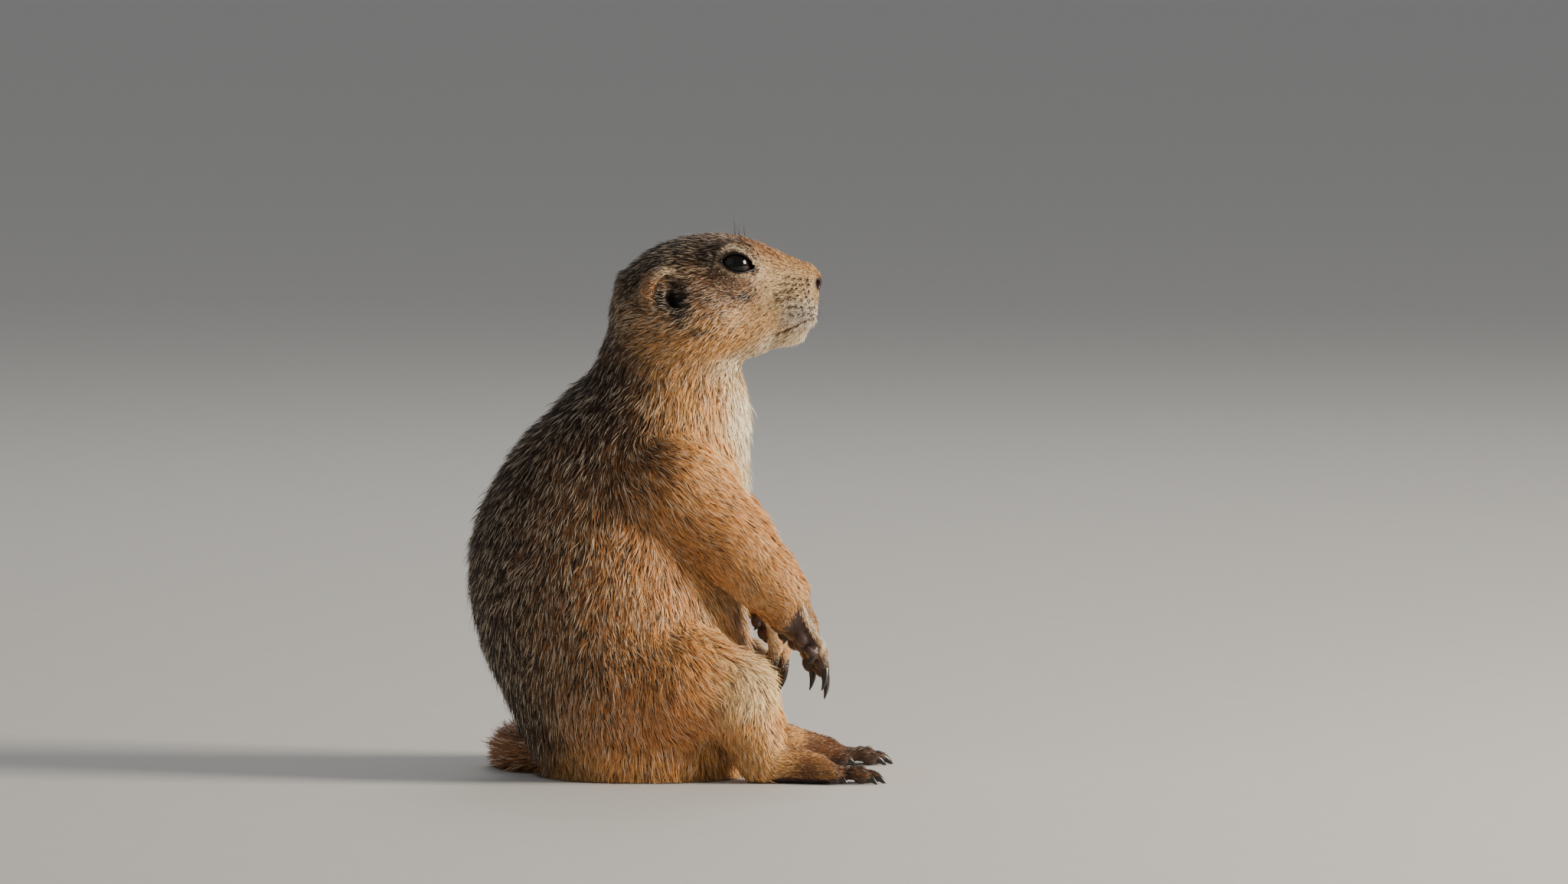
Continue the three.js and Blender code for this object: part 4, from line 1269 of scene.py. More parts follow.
@dataclass(frozen=True)
class Studio:
    """The camera, the lamps, the pale surroundings and the floor."""

    image_wide: int = 2048
    image_high: int = 1154
    mm_per_pixel: float = 0.325
    zero_pixel: Tuple[float, float] = (850.0, 1012.0)
    elevation: float = 4.0
    distance: float = 6.0
    sensor: float = 36.0
    floor_size: float = 24.0
    lamps: Tuple[Lamp, ...] = (
        Lamp("key", (2.1, -0.55, 0.85), 0.7, 98.0, (1.0, 0.9, 0.76)),
        Lamp("fill", (-1.2, -2.0, 1.3), 1.8, 3.5, (0.93, 0.96, 1.0)),
        Lamp("rim", (0.3, 1.8, 1.7), 1.0, 12.0, (1.0, 0.96, 0.9)),
    )
    aim: Triple = (0.0, 0.0, 0.12)
    air: Colour = (0.92, 0.94, 0.96)
    air_strength: float = 0.29

    def camera(self, place: Frame) -> None:
        """Sets up the camera, so that the photograph's scale and framing hold at the animal's middle plane.

        Args:
            place: The animal's frame.
        """
        middle = np.array([self.image_wide, self.image_high]) / 2
        across = (middle[0] - self.zero_pixel[0]) * self.mm_per_pixel
        up = (self.zero_pixel[1] - middle[1]) * self.mm_per_pixel
        target = Vector(place.metres((across, 0.0, up)))
        tilt = np.radians(self.elevation)
        back = Vector((0.0, -np.cos(tilt), np.sin(tilt)))
        data = bpy.data.cameras.new("camera")
        data.sensor_width = self.sensor
        width = self.image_wide * self.mm_per_pixel * MM
        data.lens = self.sensor * self.distance / width
        data.clip_end = 100.0
        camera = bpy.data.objects.new("camera", data)
        camera.location = target + back * self.distance
        camera.rotation_euler = back.to_track_quat("Z", "Y").to_euler()
        bpy.context.scene.collection.objects.link(camera)
        bpy.context.scene.camera = camera

    def lights(self) -> None:
        """Adds the lamps and the pale surroundings."""
        for lamp in self.lamps:
            lamp.build(self.aim)
        world = bpy.data.worlds.new("surroundings")
        world.use_nodes = True
        air = world.node_tree.nodes["Background"]
        air.inputs["Color"].default_value = (*self.air, 1.0)
        air.inputs["Strength"].default_value = self.air_strength
        bpy.context.scene.world = world

    def floor(self) -> Piece:
        """Makes the plain pale floor.

        Returns:
            The floor.
        """
        half = self.floor_size / 2
        points = np.array([[-half, -half, 0], [half, -half, 0], [half, half, 0], [-half, half, 0]])
        floor = make_mesh("floor", points, [np.array([[0, 1, 2, 3]])], smooth=False)
        return floor


def flesh_nodes() -> List[str]:
    """The CAD nodes that the one skin stands for."""
    return [n for n in frame["nodes"] if "claw" not in n and not n.startswith("eye")]


# Coat colours, with painted shade and painted light


@dataclass(frozen=True)
class Palette:
    """The coat's colours, from 0 to 255."""

    cream: Colour = (250, 225, 192)
    pale: Colour = (240, 202, 152)
    buff: Colour = (218, 160, 94)
    cinnamon: Colour = (188, 120, 66)
    rust: Colour = (176, 98, 48)
    brown: Colour = (108, 70, 42)
    umber: Colour = (62, 42, 29)
    dark: Colour = (34, 27, 24)
    silver: Colour = (246, 226, 196)
    grey: Colour = (222, 210, 194)
    nose: Colour = (52, 38, 34)
    palm: Colour = (66, 50, 45)
    pad: Colour = (84, 64, 57)
    lid: Colour = (14, 11, 10)
    mouth: Colour = (58, 38, 32)
    ear: Colour = (120, 74, 50)

    def of(self, name: str) -> Array:
        """A colour of the palette."""
        return np.array(getattr(self, name), float) / 255.0


def linear(colour: Array) -> Array:
    """Displayed colours as light."""
    c = np.clip(colour, 0.0, 1.0)
    return np.where(c <= 0.04045, c / 12.92, ((c + 0.055) / 1.055) ** 2.4)


class Ripple:
    """Smooth seeded noise: a sum of waves in all directions."""

    def __init__(self, seed: int, size: float, waves: int = 14) -> None:
        """Draws the waves.

        Args:
            seed: The draw's seed.
            size: The size of its features, in millimetres.
            waves: How many waves are added up.
        """
        rng = np.random.default_rng(seed)
        way = unit(rng.normal(size=(waves, 3)))
        self.waves = way * (2 * np.pi / (size * rng.uniform(0.8, 2.4, waves)))[:, None]
        self.shifts = rng.uniform(0, 2 * np.pi, waves)

    def at(self, p: Array) -> Array:
        """The noise at some points.

        Args:
            p: Points.

        Returns:
            Values of about -1 to 1.
        """
        total = np.zeros(len(p))
        for wave, shift in zip(self.waves, self.shifts):
            total += np.sin(p @ wave + shift)
        return total / np.sqrt(len(self.shifts) / 1.6)


@dataclass(frozen=True)
class Patch:
    """A soft patch of one colour on both sides of the body: its middle, half sizes, colour and strength."""

    at: Triple
    half: Triple
    colour: str
    strength: float = 1.0
    soft: float = 0.45

    def mask(self, q: Array) -> Array:
        """How strongly the patch colours some points."""
        d = np.linalg.norm((q - np.array(self.at)) / np.array(self.half), axis=-1)
        return self.strength * smoothstep(1.0 + self.soft, 1.0 - self.soft, d)


BODY_PATCHES = (
    # Darker back, shoulders, nape and lower flank: partly the back's darker coat and partly painted shade on
    # the side turned from the key light.
    Patch((-70, 0, 96), (56, 60, 66), "brown", 0.95, 0.5),
    Patch((-52, 0, 150), (46, 34, 44), "umber", 0.85, 0.5),
    Patch((-80, 0, 90), (34, 60, 60), "umber", 0.8, 0.5),
    # Painted shade over the rump and the low back.
    Patch((-70, 0, 30), (40, 60, 44), "umber", 0.85, 0.5),
    Patch((-20, 36, 146), (26, 34, 34), "brown", 0.75, 0.6),
    Patch((-26, 26, 168), (24, 30, 26), "umber", 0.7, 0.5),
    Patch((-22, 0, 166), (26, 32, 22), "umber", 0.8, 0.5),
    Patch((-30, 56, 60), (24, 30, 40), "brown", 0.5, 0.6),
    Patch((10, 36, 116), (24, 22, 24), "cinnamon", 0.35, 0.7),
    Patch((-6, 50, 84), (26, 30, 26), "cinnamon", 0.35, 0.7),
    Patch((2, 52, 32), (32, 26, 20), "rust", 0.45, 0.7),
    Patch((34, 0, 92), (26, 22, 60), "pale", 0.85, 0.5),
    Patch((38, 0, 150), (22, 17, 34), "cream", 1.0, 0.4),
    # Pale fur of the belly and the knee, partly their own colour and partly painted light where they face the
    # key light.
    Patch((36, 26, 79), (13, 26, 9), "pale", 0.8, 0.7),
    Patch((42, 42, 47), (13, 26, 14), "pale", 0.95, 0.7),
    # Painted shade on the belly behind the hands, under the arms.
    Patch((40, 0, 66), (14, 22, 17), "brown", 0.6, 0.6),
    Patch((50, 36, 14), (16, 26, 12), "buff", 0.7, 0.6),
    Patch((60, 30, 74), (14, 26, 14), "buff", 0.6, 0.6),
    Patch((44, 34, 98), (26, 26, 32), "cinnamon", 0.3, 0.6),
    Patch((66, 34, 66), (14, 26, 14), "brown", 0.5, 0.6),
    # Brown feet, darker towards the toes: partly their coat's colour and partly painted shade.
    Patch((84, 30, 6), (28, 26, 14), "brown", 0.95, 0.5),
    Patch((98, 30, 4), (20, 26, 10), "umber", 0.75, 0.6),
)
HEAD_PATCHES = (
    Patch((4, 0, 224), (44, 30, 17), "umber", 0.9, 0.5),
    # Darker back of the head and nape: partly their darker coat and partly painted shade.
    Patch((-12, 0, 205), (14, 30, 24), "umber", 0.6, 0.5),
    Patch((-18, 0, 178), (20, 32, 18), "umber", 0.8, 0.5),
    Patch((30, 0, 229), (16, 16, 6), "cinnamon", 0.35, 0.6),
    Patch((52, 0, 226), (20, 12, 8), "cinnamon", 0.6, 0.6),
    Patch((62, 0, 214), (16, 15, 10), "buff", 0.7, 0.6),
    Patch((58, 12, 203), (18, 18, 13), "pale", 0.85, 0.6),
    Patch((30, 24, 192), (26, 30, 11), "buff", 0.85, 0.6),
    Patch((27, 24, 208), (19, 30, 8), "brown", 0.9, 0.55),
    Patch((10, 26, 196), (12, 30, 9), "brown", 0.45, 0.6),
    Patch((47, 18, 217), (5, 12, 6), "pale", 0.6, 0.6),
    # The pinna's inner rim: cinnamon, partly its own colour and partly painted light where the key light
    # catches it.
    Patch((-0.5, 26, 210.5), (3.6, 10, 6.5), "cinnamon", 0.9, 0.4),
    Patch((7.5, 27, 213), (6, 9, 3.4), "pale", 0.8, 0.5),
    # Painted shade in the ear's inner fold and in its opening.
    Patch((5.5, 27, 204.5), (2.2, 8, 4.2), "dark", 0.8, 0.5),
    Patch((12.5, 27, 205.2), (7.2, 8, 9.6), "dark", 0.9, 0.4),
    Patch((60, 0, 185), (20, 20, 7.5), "cream", 0.85, 0.5),
    Patch((65, 6, 196.5), (9, 12, 6), "grey", 0.85, 0.6),
    Patch((36, 0, 174), (30, 22, 10), "cream", 0.9, 0.5),
    Patch((41, 20, 204.7), (2.0, 9, 1.5), "dark", 0.9, 0.6),
    Patch((22.4, 28, 191.8), (4.6, 9, 1.9), "umber", 0.85, 0.6),
)


# The whiskers' follicles on the muzzle: rows of height, first and last place along it, and count.
FOLLICLE_ROWS = (
    (211.4, 58.5, 66.5, 4),
    (208.6, 56.0, 67.0, 5),
    (205.6, 54.5, 66.5, 6),
    (202.6, 54.5, 67.5, 6),
    (199.6, 57.0, 68.0, 5),
    (196.9, 60.5, 68.0, 4),
)


def follicles() -> Array:
    """The follicles' places on the muzzle.

    Returns:
        Places along it and heights, one row for each.
    """
    rng = np.random.default_rng(12)
    places = [(x, z) for z, first, last, count in FOLLICLE_ROWS for x in np.linspace(first, last, count)]
    return np.array(places) + rng.uniform(-0.45, 0.45, (len(places), 2))


def follicle_near(q: Array) -> Array:
    """How far points are from the nearest follicle.

    Args:
        q: Points with y counted outwards.

    Returns:
        Distances, and FAR_OFF away from the muzzle.
    """
    far = np.full(len(q), FAR_OFF)
    muzzle = np.flatnonzero((q[:, 0] > 52) & (q[:, 1] > 3) & (np.abs(q[:, 2] - 204.0) < 10))
    flat = q[muzzle][:, [0, 2]]
    for place in follicles():
        far[muzzle] = np.minimum(far[muzzle], away_from(flat, place))
    return far


@dataclass(frozen=True)
class MarkingsAndShade:
    """The colours of the skin and of the coat, the same for both, as functions of the place: the coat's
    marks, with painted shade and painted light among them.
    """

    anatomy: Anatomy
    palette: Palette = Palette()
    wander_seed: int = 11
    wander_size: float = 11.0
    wander_head: float = 0.7
    wander_body: float = 2.6
    head_brown: float = 0.35
    eye_corner: Tuple[float, float] = (44.6, 215.2)

    def coat(self, p: Array) -> Array:
        """The coat's colour, with painted shade and painted light.

        Args:
            p: Points on the skin.

        Returns:
            Displayed colours from 0 to 1.
        """
        q = folded(p)
        waves = [Ripple(self.wander_seed + k, self.wander_size).at(p) for k in range(3)]
        wide = smoothstep(176, 150, p[:, 2])[:, None]
        wandered = q + np.stack(waves, axis=-1) * (self.wander_head + self.wander_body * wide)
        head = smoothstep(168, 184, neck_height(p))
        colour = np.tile(self.palette.of("buff"), (len(p), 1))
        colour = mixed(colour, self.palette.of("brown"), self.head_brown * head[:, None])
        for patches, share in ((BODY_PATCHES, 1.0 - head), (HEAD_PATCHES, head)):
            for patch in patches:
                mask = (patch.mask(wandered) * share)[:, None]
                colour = mixed(colour, self.palette.of(patch.colour), mask)
        colour = self.face(q, colour)
        for leg in FORELEGS.values():
            local = leg.frame().local(p)
            on_hand = leg.hand.outside(local) < 3
            edge = leg.hand.palm_height(local)
            fringe = 0.75 * bump(edge, 1.6, 1.1) * (local[:, 0] > 0) * on_hand
            fingers = 0.8 * smoothstep(16, 27, local[:, 0] - 1.4 * edge) * on_hand
            for mask, name in ((fringe, "grey"), (fingers, "umber")):
                colour = mixed(colour, self.palette.of(name), mask[:, None])
        t, near, _ = self.anatomy.tail.place(p)
        on_tail = (smoothstep(9, 4, near) * (p[:, 0] < -30))[:, None]
        ringed = smoothstep(0.55, 0.72, t)[:, None]
        tail = (self.palette.of("brown") + self.palette.of("cinnamon")) / 2
        return mixed(colour, mixed(tail, self.palette.of("dark"), ringed), on_tail)

    def face(self, q: Array, colour: Array) -> Array:
        """Adds the pale ring round the eye, its dark corner and the dark spots of the whiskers.

        Args:
            q: Points with y counted outwards.
            colour: Their colours.

        Returns:
            The colours with these marks.
        """
        eye = self.anatomy.head.eye
        outside, above, depth = eye.lids(q)
        near = (away_from(q, eye.at) < 16) * (depth > 0)
        level = smoothstep(-9, -5, q[:, 0] - eye.at[0])
        over = level * smoothstep(-0.5, 1.2, above) * bump(outside, 2.5, 1.1)
        under = 0.7 * smoothstep(0.8, -0.6, above) * bump(outside, 1.9, 0.7)
        corner = away_from(q[:, [0, 2]], self.eye_corner)
        marks = (
            (near * (over + under), "cream"),
            (near * 0.85 * smoothstep(2.6, 0.9, corner), "umber"),
            (0.8 * smoothstep(0.95, 0.4, follicle_near(q)), "umber"),
        )
        for mask, name in marks:
            colour = mixed(colour, self.palette.of(name), np.clip(mask, 0.0, 1.0)[:, None])
        return colour

    def grizzle(self, p: Array) -> Tuple[Array, Array]:
        """How many of the hairs are dark, and how many have pale tips: silver-tipped hairs, which also stand
        for painted glints.

        Args:
            p: Points on the skin.

        Returns:
            Two shares.
        """
        back = smoothstep(20, -45, p[:, 0]) * smoothstep(10, 40, p[:, 2])
        crown = smoothstep(206, 224, p[:, 2]) * smoothstep(56, 20, p[:, 0])
        cheek = smoothstep(182, 196, p[:, 2]) * smoothstep(58, 36, p[:, 0])
        front = smoothstep(20, 36, p[:, 0]) * smoothstep(178, 166, p[:, 2])
        dark = 0.05 + 0.26 * back + 0.28 * crown + 0.14 * cheek
        foot = smoothstep(22, 10, p[:, 2]) * smoothstep(52, 66, p[:, 0])
        pale = 0.15 + 0.12 * back + 0.02 * crown + 0.12 * cheek
        return dark * (1 - 0.85 * front), pale * (1 - 0.8 * foot)


@dataclass(frozen=True)
class Lie:
    """The way the hair lies, and its length, width, lift and number at each place."""

    anatomy: Anatomy
    nose: Triple = (74.0, 0.0, 206.0)
    nose_pad: Mass = Mass((70.6, 4.0, 208.9), (3.7, 3.9, 3.2))
    on_head: Triple = (0.0, 0.0, -0.22)
    on_body: Triple = (0.0, 0.0, -1.0)
    on_shoulders: Triple = (-0.22, 0.0, 0.0)
    on_thigh: Triple = (0.62, 0.0, -0.75)
    on_shank: Triple = (0.2, 0.0, -1.0)

    def limbs(self, p: Array) -> Dict[str, Array]:
        """How far points lie outside the limbs' flesh.

        Args:
            p: Points on the skin.

        Returns:
            Distances from the arms, hands, legs, feet and tail, by name.
        """
        far = {name: np.full(len(p), FAR_OFF) for name in ("arm", "hand", "leg", "foot")}
        far["palm"] = np.zeros(len(p))
        for leg in FORELEGS.values():
            for joints in (leg.upper, leg.lower):
                far["arm"] = np.minimum(far["arm"], outside_limb(p, mirrored(joints, leg.side), 4))
            local = leg.frame().local(p)
            d = np.where(local[:, 0] > -3, leg.hand.outside(local), FAR_OFF)
            far["hand"] = np.minimum(far["hand"], d)
            edge = bump(leg.hand.palm_height(local), 1.3, 1.0) * (local[:, 0] < 24) * (d < 3)
            far["palm"] = np.maximum(far["palm"], edge)
        for leg in HINDLEGS.values():
            far["leg"] = np.minimum(far["leg"], leg.outside(p))
            local = leg.frame().local(p)
            d = np.where(local[:, 0] > 2, leg.foot.outside(local), FAR_OFF)
            far["foot"] = np.minimum(far["foot"], d)
        return far

    def flow(self, p: Array, normal: Array) -> Array:
        """The way the hair lies.

        Args:
            p: Points on the skin.
            normal: The skin's normals there.

        Returns:
            Unit vectors along the skin.
        """
        head = smoothstep(168, 188, neck_height(p))[:, None]
        high = smoothstep(70, 150, p[:, 2])[:, None]
        down = np.array(self.on_body) + high * np.array(self.on_shoulders)
        way = mixed(unit(down), unit(p - np.array(self.nose)) + np.array(self.on_head), head)
        for leg in FORELEGS.values():
            for joints, weight in ((leg.upper, 1.0), (leg.lower, 1.4)):
                bones = mirrored(joints, leg.side)
                bone = unit(np.array(bones[-1][:3]) - np.array(bones[0][:3]))
                near = smoothstep(7, -2, outside_limb(p, bones, 4))[:, None] * weight
                way = way * (1 - np.minimum(near, 1.0)) + bone * near
            paw = leg.frame()
            local = paw.local(p)
            on_hand = smoothstep(4, 1, leg.hand.outside(local)) * (local[:, 0] > -4)
            way = mixed(way, paw.axes[0], on_hand[:, None])
        for leg in HINDLEGS.values():
            thigh = smoothstep(6, -2, outside_limb(p, mirrored(leg.haunch, leg.side), 8))
            forward = 0.8 * thigh * smoothstep(-30, 25, p[:, 0])
            way = mixed(way, np.array(self.on_thigh), forward[:, None])
            shank = smoothstep(5, -1, outside_limb(p, mirrored(leg.shank, leg.side), 8))
            way = mixed(way, np.array(self.on_shank), shank[:, None])
            paw = leg.frame()
            local = paw.local(p)
            on_foot = smoothstep(5, 1, leg.foot.outside(local)) * smoothstep(0, 8, local[:, 0])
            way = mixed(way, paw.axes[0], on_foot[:, None])
        _, near, along = self.anatomy.tail.place(p)
        way = mixed(way, along, (smoothstep(8, 3, near) * (p[:, 0] < -30))[:, None])
        return unit(way - normal * (way * normal).sum(-1, keepdims=True))

    def bare(self, p: Array) -> Array:
        """How bare the skin is: the nose, lids, lips' edges, palms and the ear's pit have no hair.

        Args:
            p: Points on the skin.

        Returns:
            Shares from nought, furred, to one, bare.
        """
        head = self.anatomy.head
        q = folded(p)
        outside, _, depth = head.eye.lids(q)
        lids = smoothstep(1.3, 0.8, outside) * (away_from(q, head.eye.at) < 12) * (depth > 0)
        half = np.array(self.nose_pad.half)
        nose = smoothstep(1.15, 0.8, np.linalg.norm((q - np.array(self.nose_pad.at)) / half, axis=-1))
        above = q[:, 2] - head.mouth.line(q[:, 0])
        lips = smoothstep(0.5, 0.2, np.abs(above)) * (q[:, 0] > head.mouth.places[0] + 2.0)
        pit = smoothstep(0.9, 0.3, head.ear.pit.outside(q) + 0.9)
        bare = np.maximum.reduce([lids, nose, lips, pit, smoothstep(0.62, 0.34, follicle_near(q))])
        for leg in FORELEGS.values():
            local = leg.frame().local(p)
            paw = (leg.hand.outside(local) < 2.5) * smoothstep(-2, 3, local[:, 0] + 0.4 * local[:, 2])
            palm = smoothstep(0.7, -0.7, leg.hand.palm_height(local))
            tips = smoothstep(24, 29, local[:, 0])
            bare = np.maximum(bare, np.maximum(palm, 0.7 * tips) * paw)
        for leg in HINDLEGS.values():
            local = leg.frame().local(p)
            sole = (leg.foot.outside(local) < 2.5) & (local[:, 2] < -3.6)
            bare = np.maximum(bare, sole.astype(float))
        return bare

    def sizes(self, p: Array) -> Dict[str, Array]:
        """The hair's sizes.

        Args:
            p: Points on the skin.

        Returns:
            Length and width in millimetres, lift in degrees, and blades on each square millimetre.
        """
        far = self.limbs(p)
        q = folded(p)
        high = neck_height(p)
        _, near_tail, _ = self.anatomy.tail.place(p)
        lip = p[:, 2] - self.anatomy.head.mouth.line(p[:, 0])
        shares = {
            "head": smoothstep(166, 186, high),
            "face": smoothstep(166, 184, high) * smoothstep(22, 48, p[:, 0]),
            "muzzle": smoothstep(-2, 1, lip) * smoothstep(46, 68, p[:, 0]) * (p[:, 2] > 180),
            "chin": smoothstep(0, -3, lip) * smoothstep(50, 60, p[:, 0]) * (p[:, 2] > 170),
            "eye": smoothstep(13, 7.5, self.anatomy.head.eye.front_distance(q)),
            "ear": smoothstep(2.5, 0.8, self.anatomy.head.ear.outside(q)),
            "arm": smoothstep(5, 0, far["arm"]) * smoothstep(128, 96, p[:, 2]),
            "wrist": smoothstep(5, 0, far["arm"]) * smoothstep(96, 76, p[:, 2]),
            "hand": smoothstep(3, 1, far["hand"]),
            "fringe": smoothstep(3, 1, far["hand"]) * far["palm"],
            "leg": smoothstep(5, 0, far["leg"])
            * smoothstep(46, 16, p[:, 2])
            * smoothstep(10, 40, p[:, 0]),
            "foot": smoothstep(4, 1, far["foot"]),
            "hem": smoothstep(9, 2, p[:, 2]) * smoothstep(46, 30, p[:, 0]),
            "tail": smoothstep(6, 2, near_tail) * (p[:, 0] < -40) * smoothstep(-2, 12, p[:, 1]),
        }
        names = ("length", "width", "lift", "number")
        values = {name: np.full(len(p), getattr(BODY_HAIR, name)) for name in names}
        for key, share in shares.items():
            for name in names:
                values[name] = mixed(values[name], getattr(HAIR[key], name), share)
        return values


@dataclass(frozen=True)
class Hair:
    """One part's hair: length and width in millimetres, lift in degrees, blades on a square millimetre."""

    length: float
    width: float
    lift: float
    number: float


BODY_HAIR = Hair(8.6, 0.34, 20.0, 3.1)
HAIR = {
    "head": Hair(4.6, 0.25, 17.0, 5.6),
    "face": Hair(3.0, 0.2, 15.0, 8.6),
    "muzzle": Hair(1.6, 0.15, 14.0, 13.0),
    "chin": Hair(3.4, 0.17, 28.0, 11.0),
    "eye": Hair(1.5, 0.15, 11.0, 12.0),
    "ear": Hair(2.2, 0.17, 18.0, 10.0),
    "arm": Hair(5.6, 0.27, 16.0, 4.6),
    "wrist": Hair(3.4, 0.22, 14.0, 6.4),
    "hand": Hair(1.8, 0.17, 12.0, 11.0),
    "fringe": Hair(4.2, 0.2, 24.0, 10.0),
    "leg": Hair(5.0, 0.28, 15.0, 4.4),
    "foot": Hair(2.4, 0.21, 12.0, 8.0),
    "hem": Hair(7.0, 0.32, 38.0, 4.2),
    "tail": Hair(14.0, 0.42, 24.0, 4.6),
}


@dataclass(frozen=True)
class Cut:
    """How a blade is cut into steps: where its rings stand from root to tip, and its share of width there."""

    shares: Tuple[float, ...]
    widths: Tuple[float, ...]

    def faces(self, count: int) -> List[Array]:
        """The blades' faces.

        Args:
            count: How many blades there are.

        Returns:
            Their quads and the triangles of their tips.
        """
        start = (np.arange(count) * (2 * len(self.widths) + 1))[:, None]
        steps = range(0, 2 * len(self.widths) - 2, 2)
        quads = np.concatenate([start + n + np.array([0, 2, 3, 1]) for n in steps], axis=1).reshape(-1, 4)
        return [quads, start + 2 * len(self.widths) + np.array([-2, 0, -1])]


LONG_CUT = Cut((0.0, 0.36, 0.7, 1.0), (0.75, 1.0, 0.72))
SHORT_CUT = Cut((0.0, 0.55, 1.0), (0.9, 1.0))
LONG_HAIRED = ("neck", "chest", "back", "flank", "tail")


# Coat


@dataclass
class Roots:
    """Where blades stand: their places, the skin's normals, the lie and the sizes there."""

    points: Array
    normals: Array
    flow: Array
    sizes: Dict[str, Array]

    def chosen(self, which: Array) -> "Roots":
        """Some of the roots."""
        sizes = {name: values[which] for name, values in self.sizes.items()}
        return Roots(self.points[which], self.normals[which], self.flow[which], sizes)


@dataclass
class Coat(Part):
    """The coat: thin tapered blades that overlap along the lie, joined into one mesh for each region."""

    skin: Skin
    markings_and_shade: MarkingsAndShade
    lie: Lie
    place: Frame
    seed: int = 31
    sunk: float = 0.15
    floor_gap: float = 0.35
    patch: float = 0.003
    clump: float = 0.22
    gather: float = 0.38
    wave_size: float = 16.0
    wave_turn: float = 0.16
    clump_turn: float = 0.13
    own_turn: float = 0.13
    clump_lift: float = 0.22
    own_lift: float = 0.28
    own_length: float = 0.2
    own_roll: float = 0.45
    clump_tone: float = 0.07
    own_tone: float = 0.09
    lighter: Ramp = ((0.0, 0.36, 0.7, 1.0), (0.5, 0.84, 1.06, 1.18))
    darkened: Ramp = ((0.0, 0.36, 1.0), (0.45, 0.75, 0.85))
    # Pale tips: silver-tipped hairs, partly painted glints.
    silvered: Ramp = ((0.0, 0.36, 0.7, 1.0), (0.0, 0.2, 0.75, 0.95))

    def roots(self, piece: Piece) -> Roots:
        """Draws the blades' roots on the skin.

        Args:
            piece: The skin's object.

        Returns:
            The roots.
        """
        rng = np.random.default_rng(self.seed)
        mesh = piece.data
        mesh.calc_loop_triangles()
        corners = read(mesh.loop_triangles, "vertices", np.int32)
        normals = read(mesh.vertices, "normal", np.float32).astype(float)
        p = self.skin.points[corners]
        area = np.linalg.norm(np.cross(p[:, 1] - p[:, 0], p[:, 2] - p[:, 0]), axis=-1) / 2
        middles = p.mean(1)
        number = self.lie.sizes(middles)["number"] * (middles[:, 2] > 0.8)
        count = np.floor(area * number + rng.random(len(area))).astype(int)
        which = np.repeat(np.arange(len(area)), count)
        u, v = rng.random((2, len(which)))
        flip = u + v > 1
        u, v = np.where(flip, 1 - u, u), np.where(flip, 1 - v, v)
        weights = np.stack([1 - u - v, u, v], axis=-1)[..., None]
        points = (p[which] * weights).sum(1)
        normal = unit((normals[corners[which]] * weights).sum(1))
        keep = (self.lie.bare(points) < rng.random(len(points))) & (points[:, 2] > 0.9)
        points, normal = points[keep], normal[keep]
        return Roots(points, normal, self.lie.flow(points, normal), self.lie.sizes(points))

    def regions(self, p: Array) -> Array:
        """The region of each root.

        Args:
            p: Roots.

        Returns:
            Numbers in the order of Region.
        """
        order = list(Region)
        far = self.lie.limbs(p)
        _, near_tail, _ = self.lie.anatomy.tail.place(p)
        turn = np.degrees(np.arctan2(np.abs(p[:, 1]), p[:, 0] + 12.0))
        high = neck_height(p)

        def sided(part: str) -> Array:
            """The number of a part's region on each root's own side."""
            return np.where(p[:, 1] < 0, *[order.index(Region(f"{part}_{side}")) for side in SIDES])

        region = np.where(turn > 118, sided("back"), sided("flank"))
        region = np.where(turn < 42, order.index(Region.CHEST), region)
        region = np.where(high > 148, order.index(Region.NECK), region)
        arm = (np.minimum(far["arm"], far["hand"]) < 1.2) & (high < 150)
        region = np.where(arm, sided("arm"), region)
        leg = (np.minimum(far["leg"], far["foot"]) < 1.2) & (high < 120)
        region = np.where(leg, sided("leg"), region)
        head = np.where(p[:, 0] > 38, sided("face"), sided("head"))
        region = np.where(high > 182, head, region)
        tail = (near_tail < 3) & (p[:, 0] < -40) & (p[:, 2] < 26)
        return np.where(tail, order.index(Region.TAIL), region)

    def unwrap(self, region: Region, p: Array) -> Array:
        """Lays the skin of one region flat: the turn round its axis against the place along it.

        Args:
            region: The region.
            p: Points on its skin.

        Returns:
            Coordinates from nought to one.
        """
        x, y, z = p.T
        if region.part in ("face", "head"):
            turn, along = np.arctan2(y, z - 203.0), x
        elif region.part == "tail":
            turn, along = np.arctan2(z - 7.0, x + 54.0), self.lie.anatomy.tail.place(p)[0]
        elif region.part == "arm":
            turn, along = np.arctan2(np.abs(y) - 28.0, x + 0.9 * z - 126.0), z
        elif region.part == "leg":
            turn, along = np.arctan2(z - 30.0, np.abs(y) - 34.0), x
        elif region.part == "back":
            turn, along = np.arctan2(y, -x - 12.0), z
        else:
            turn, along = np.arctan2(y, x + 12.0), z
        flat = np.stack([turn, along], axis=-1)
        low, high = flat.min(0), flat.max(0)
        return 0.004 + (flat - low) / (high - low) * (0.992 - self.patch)

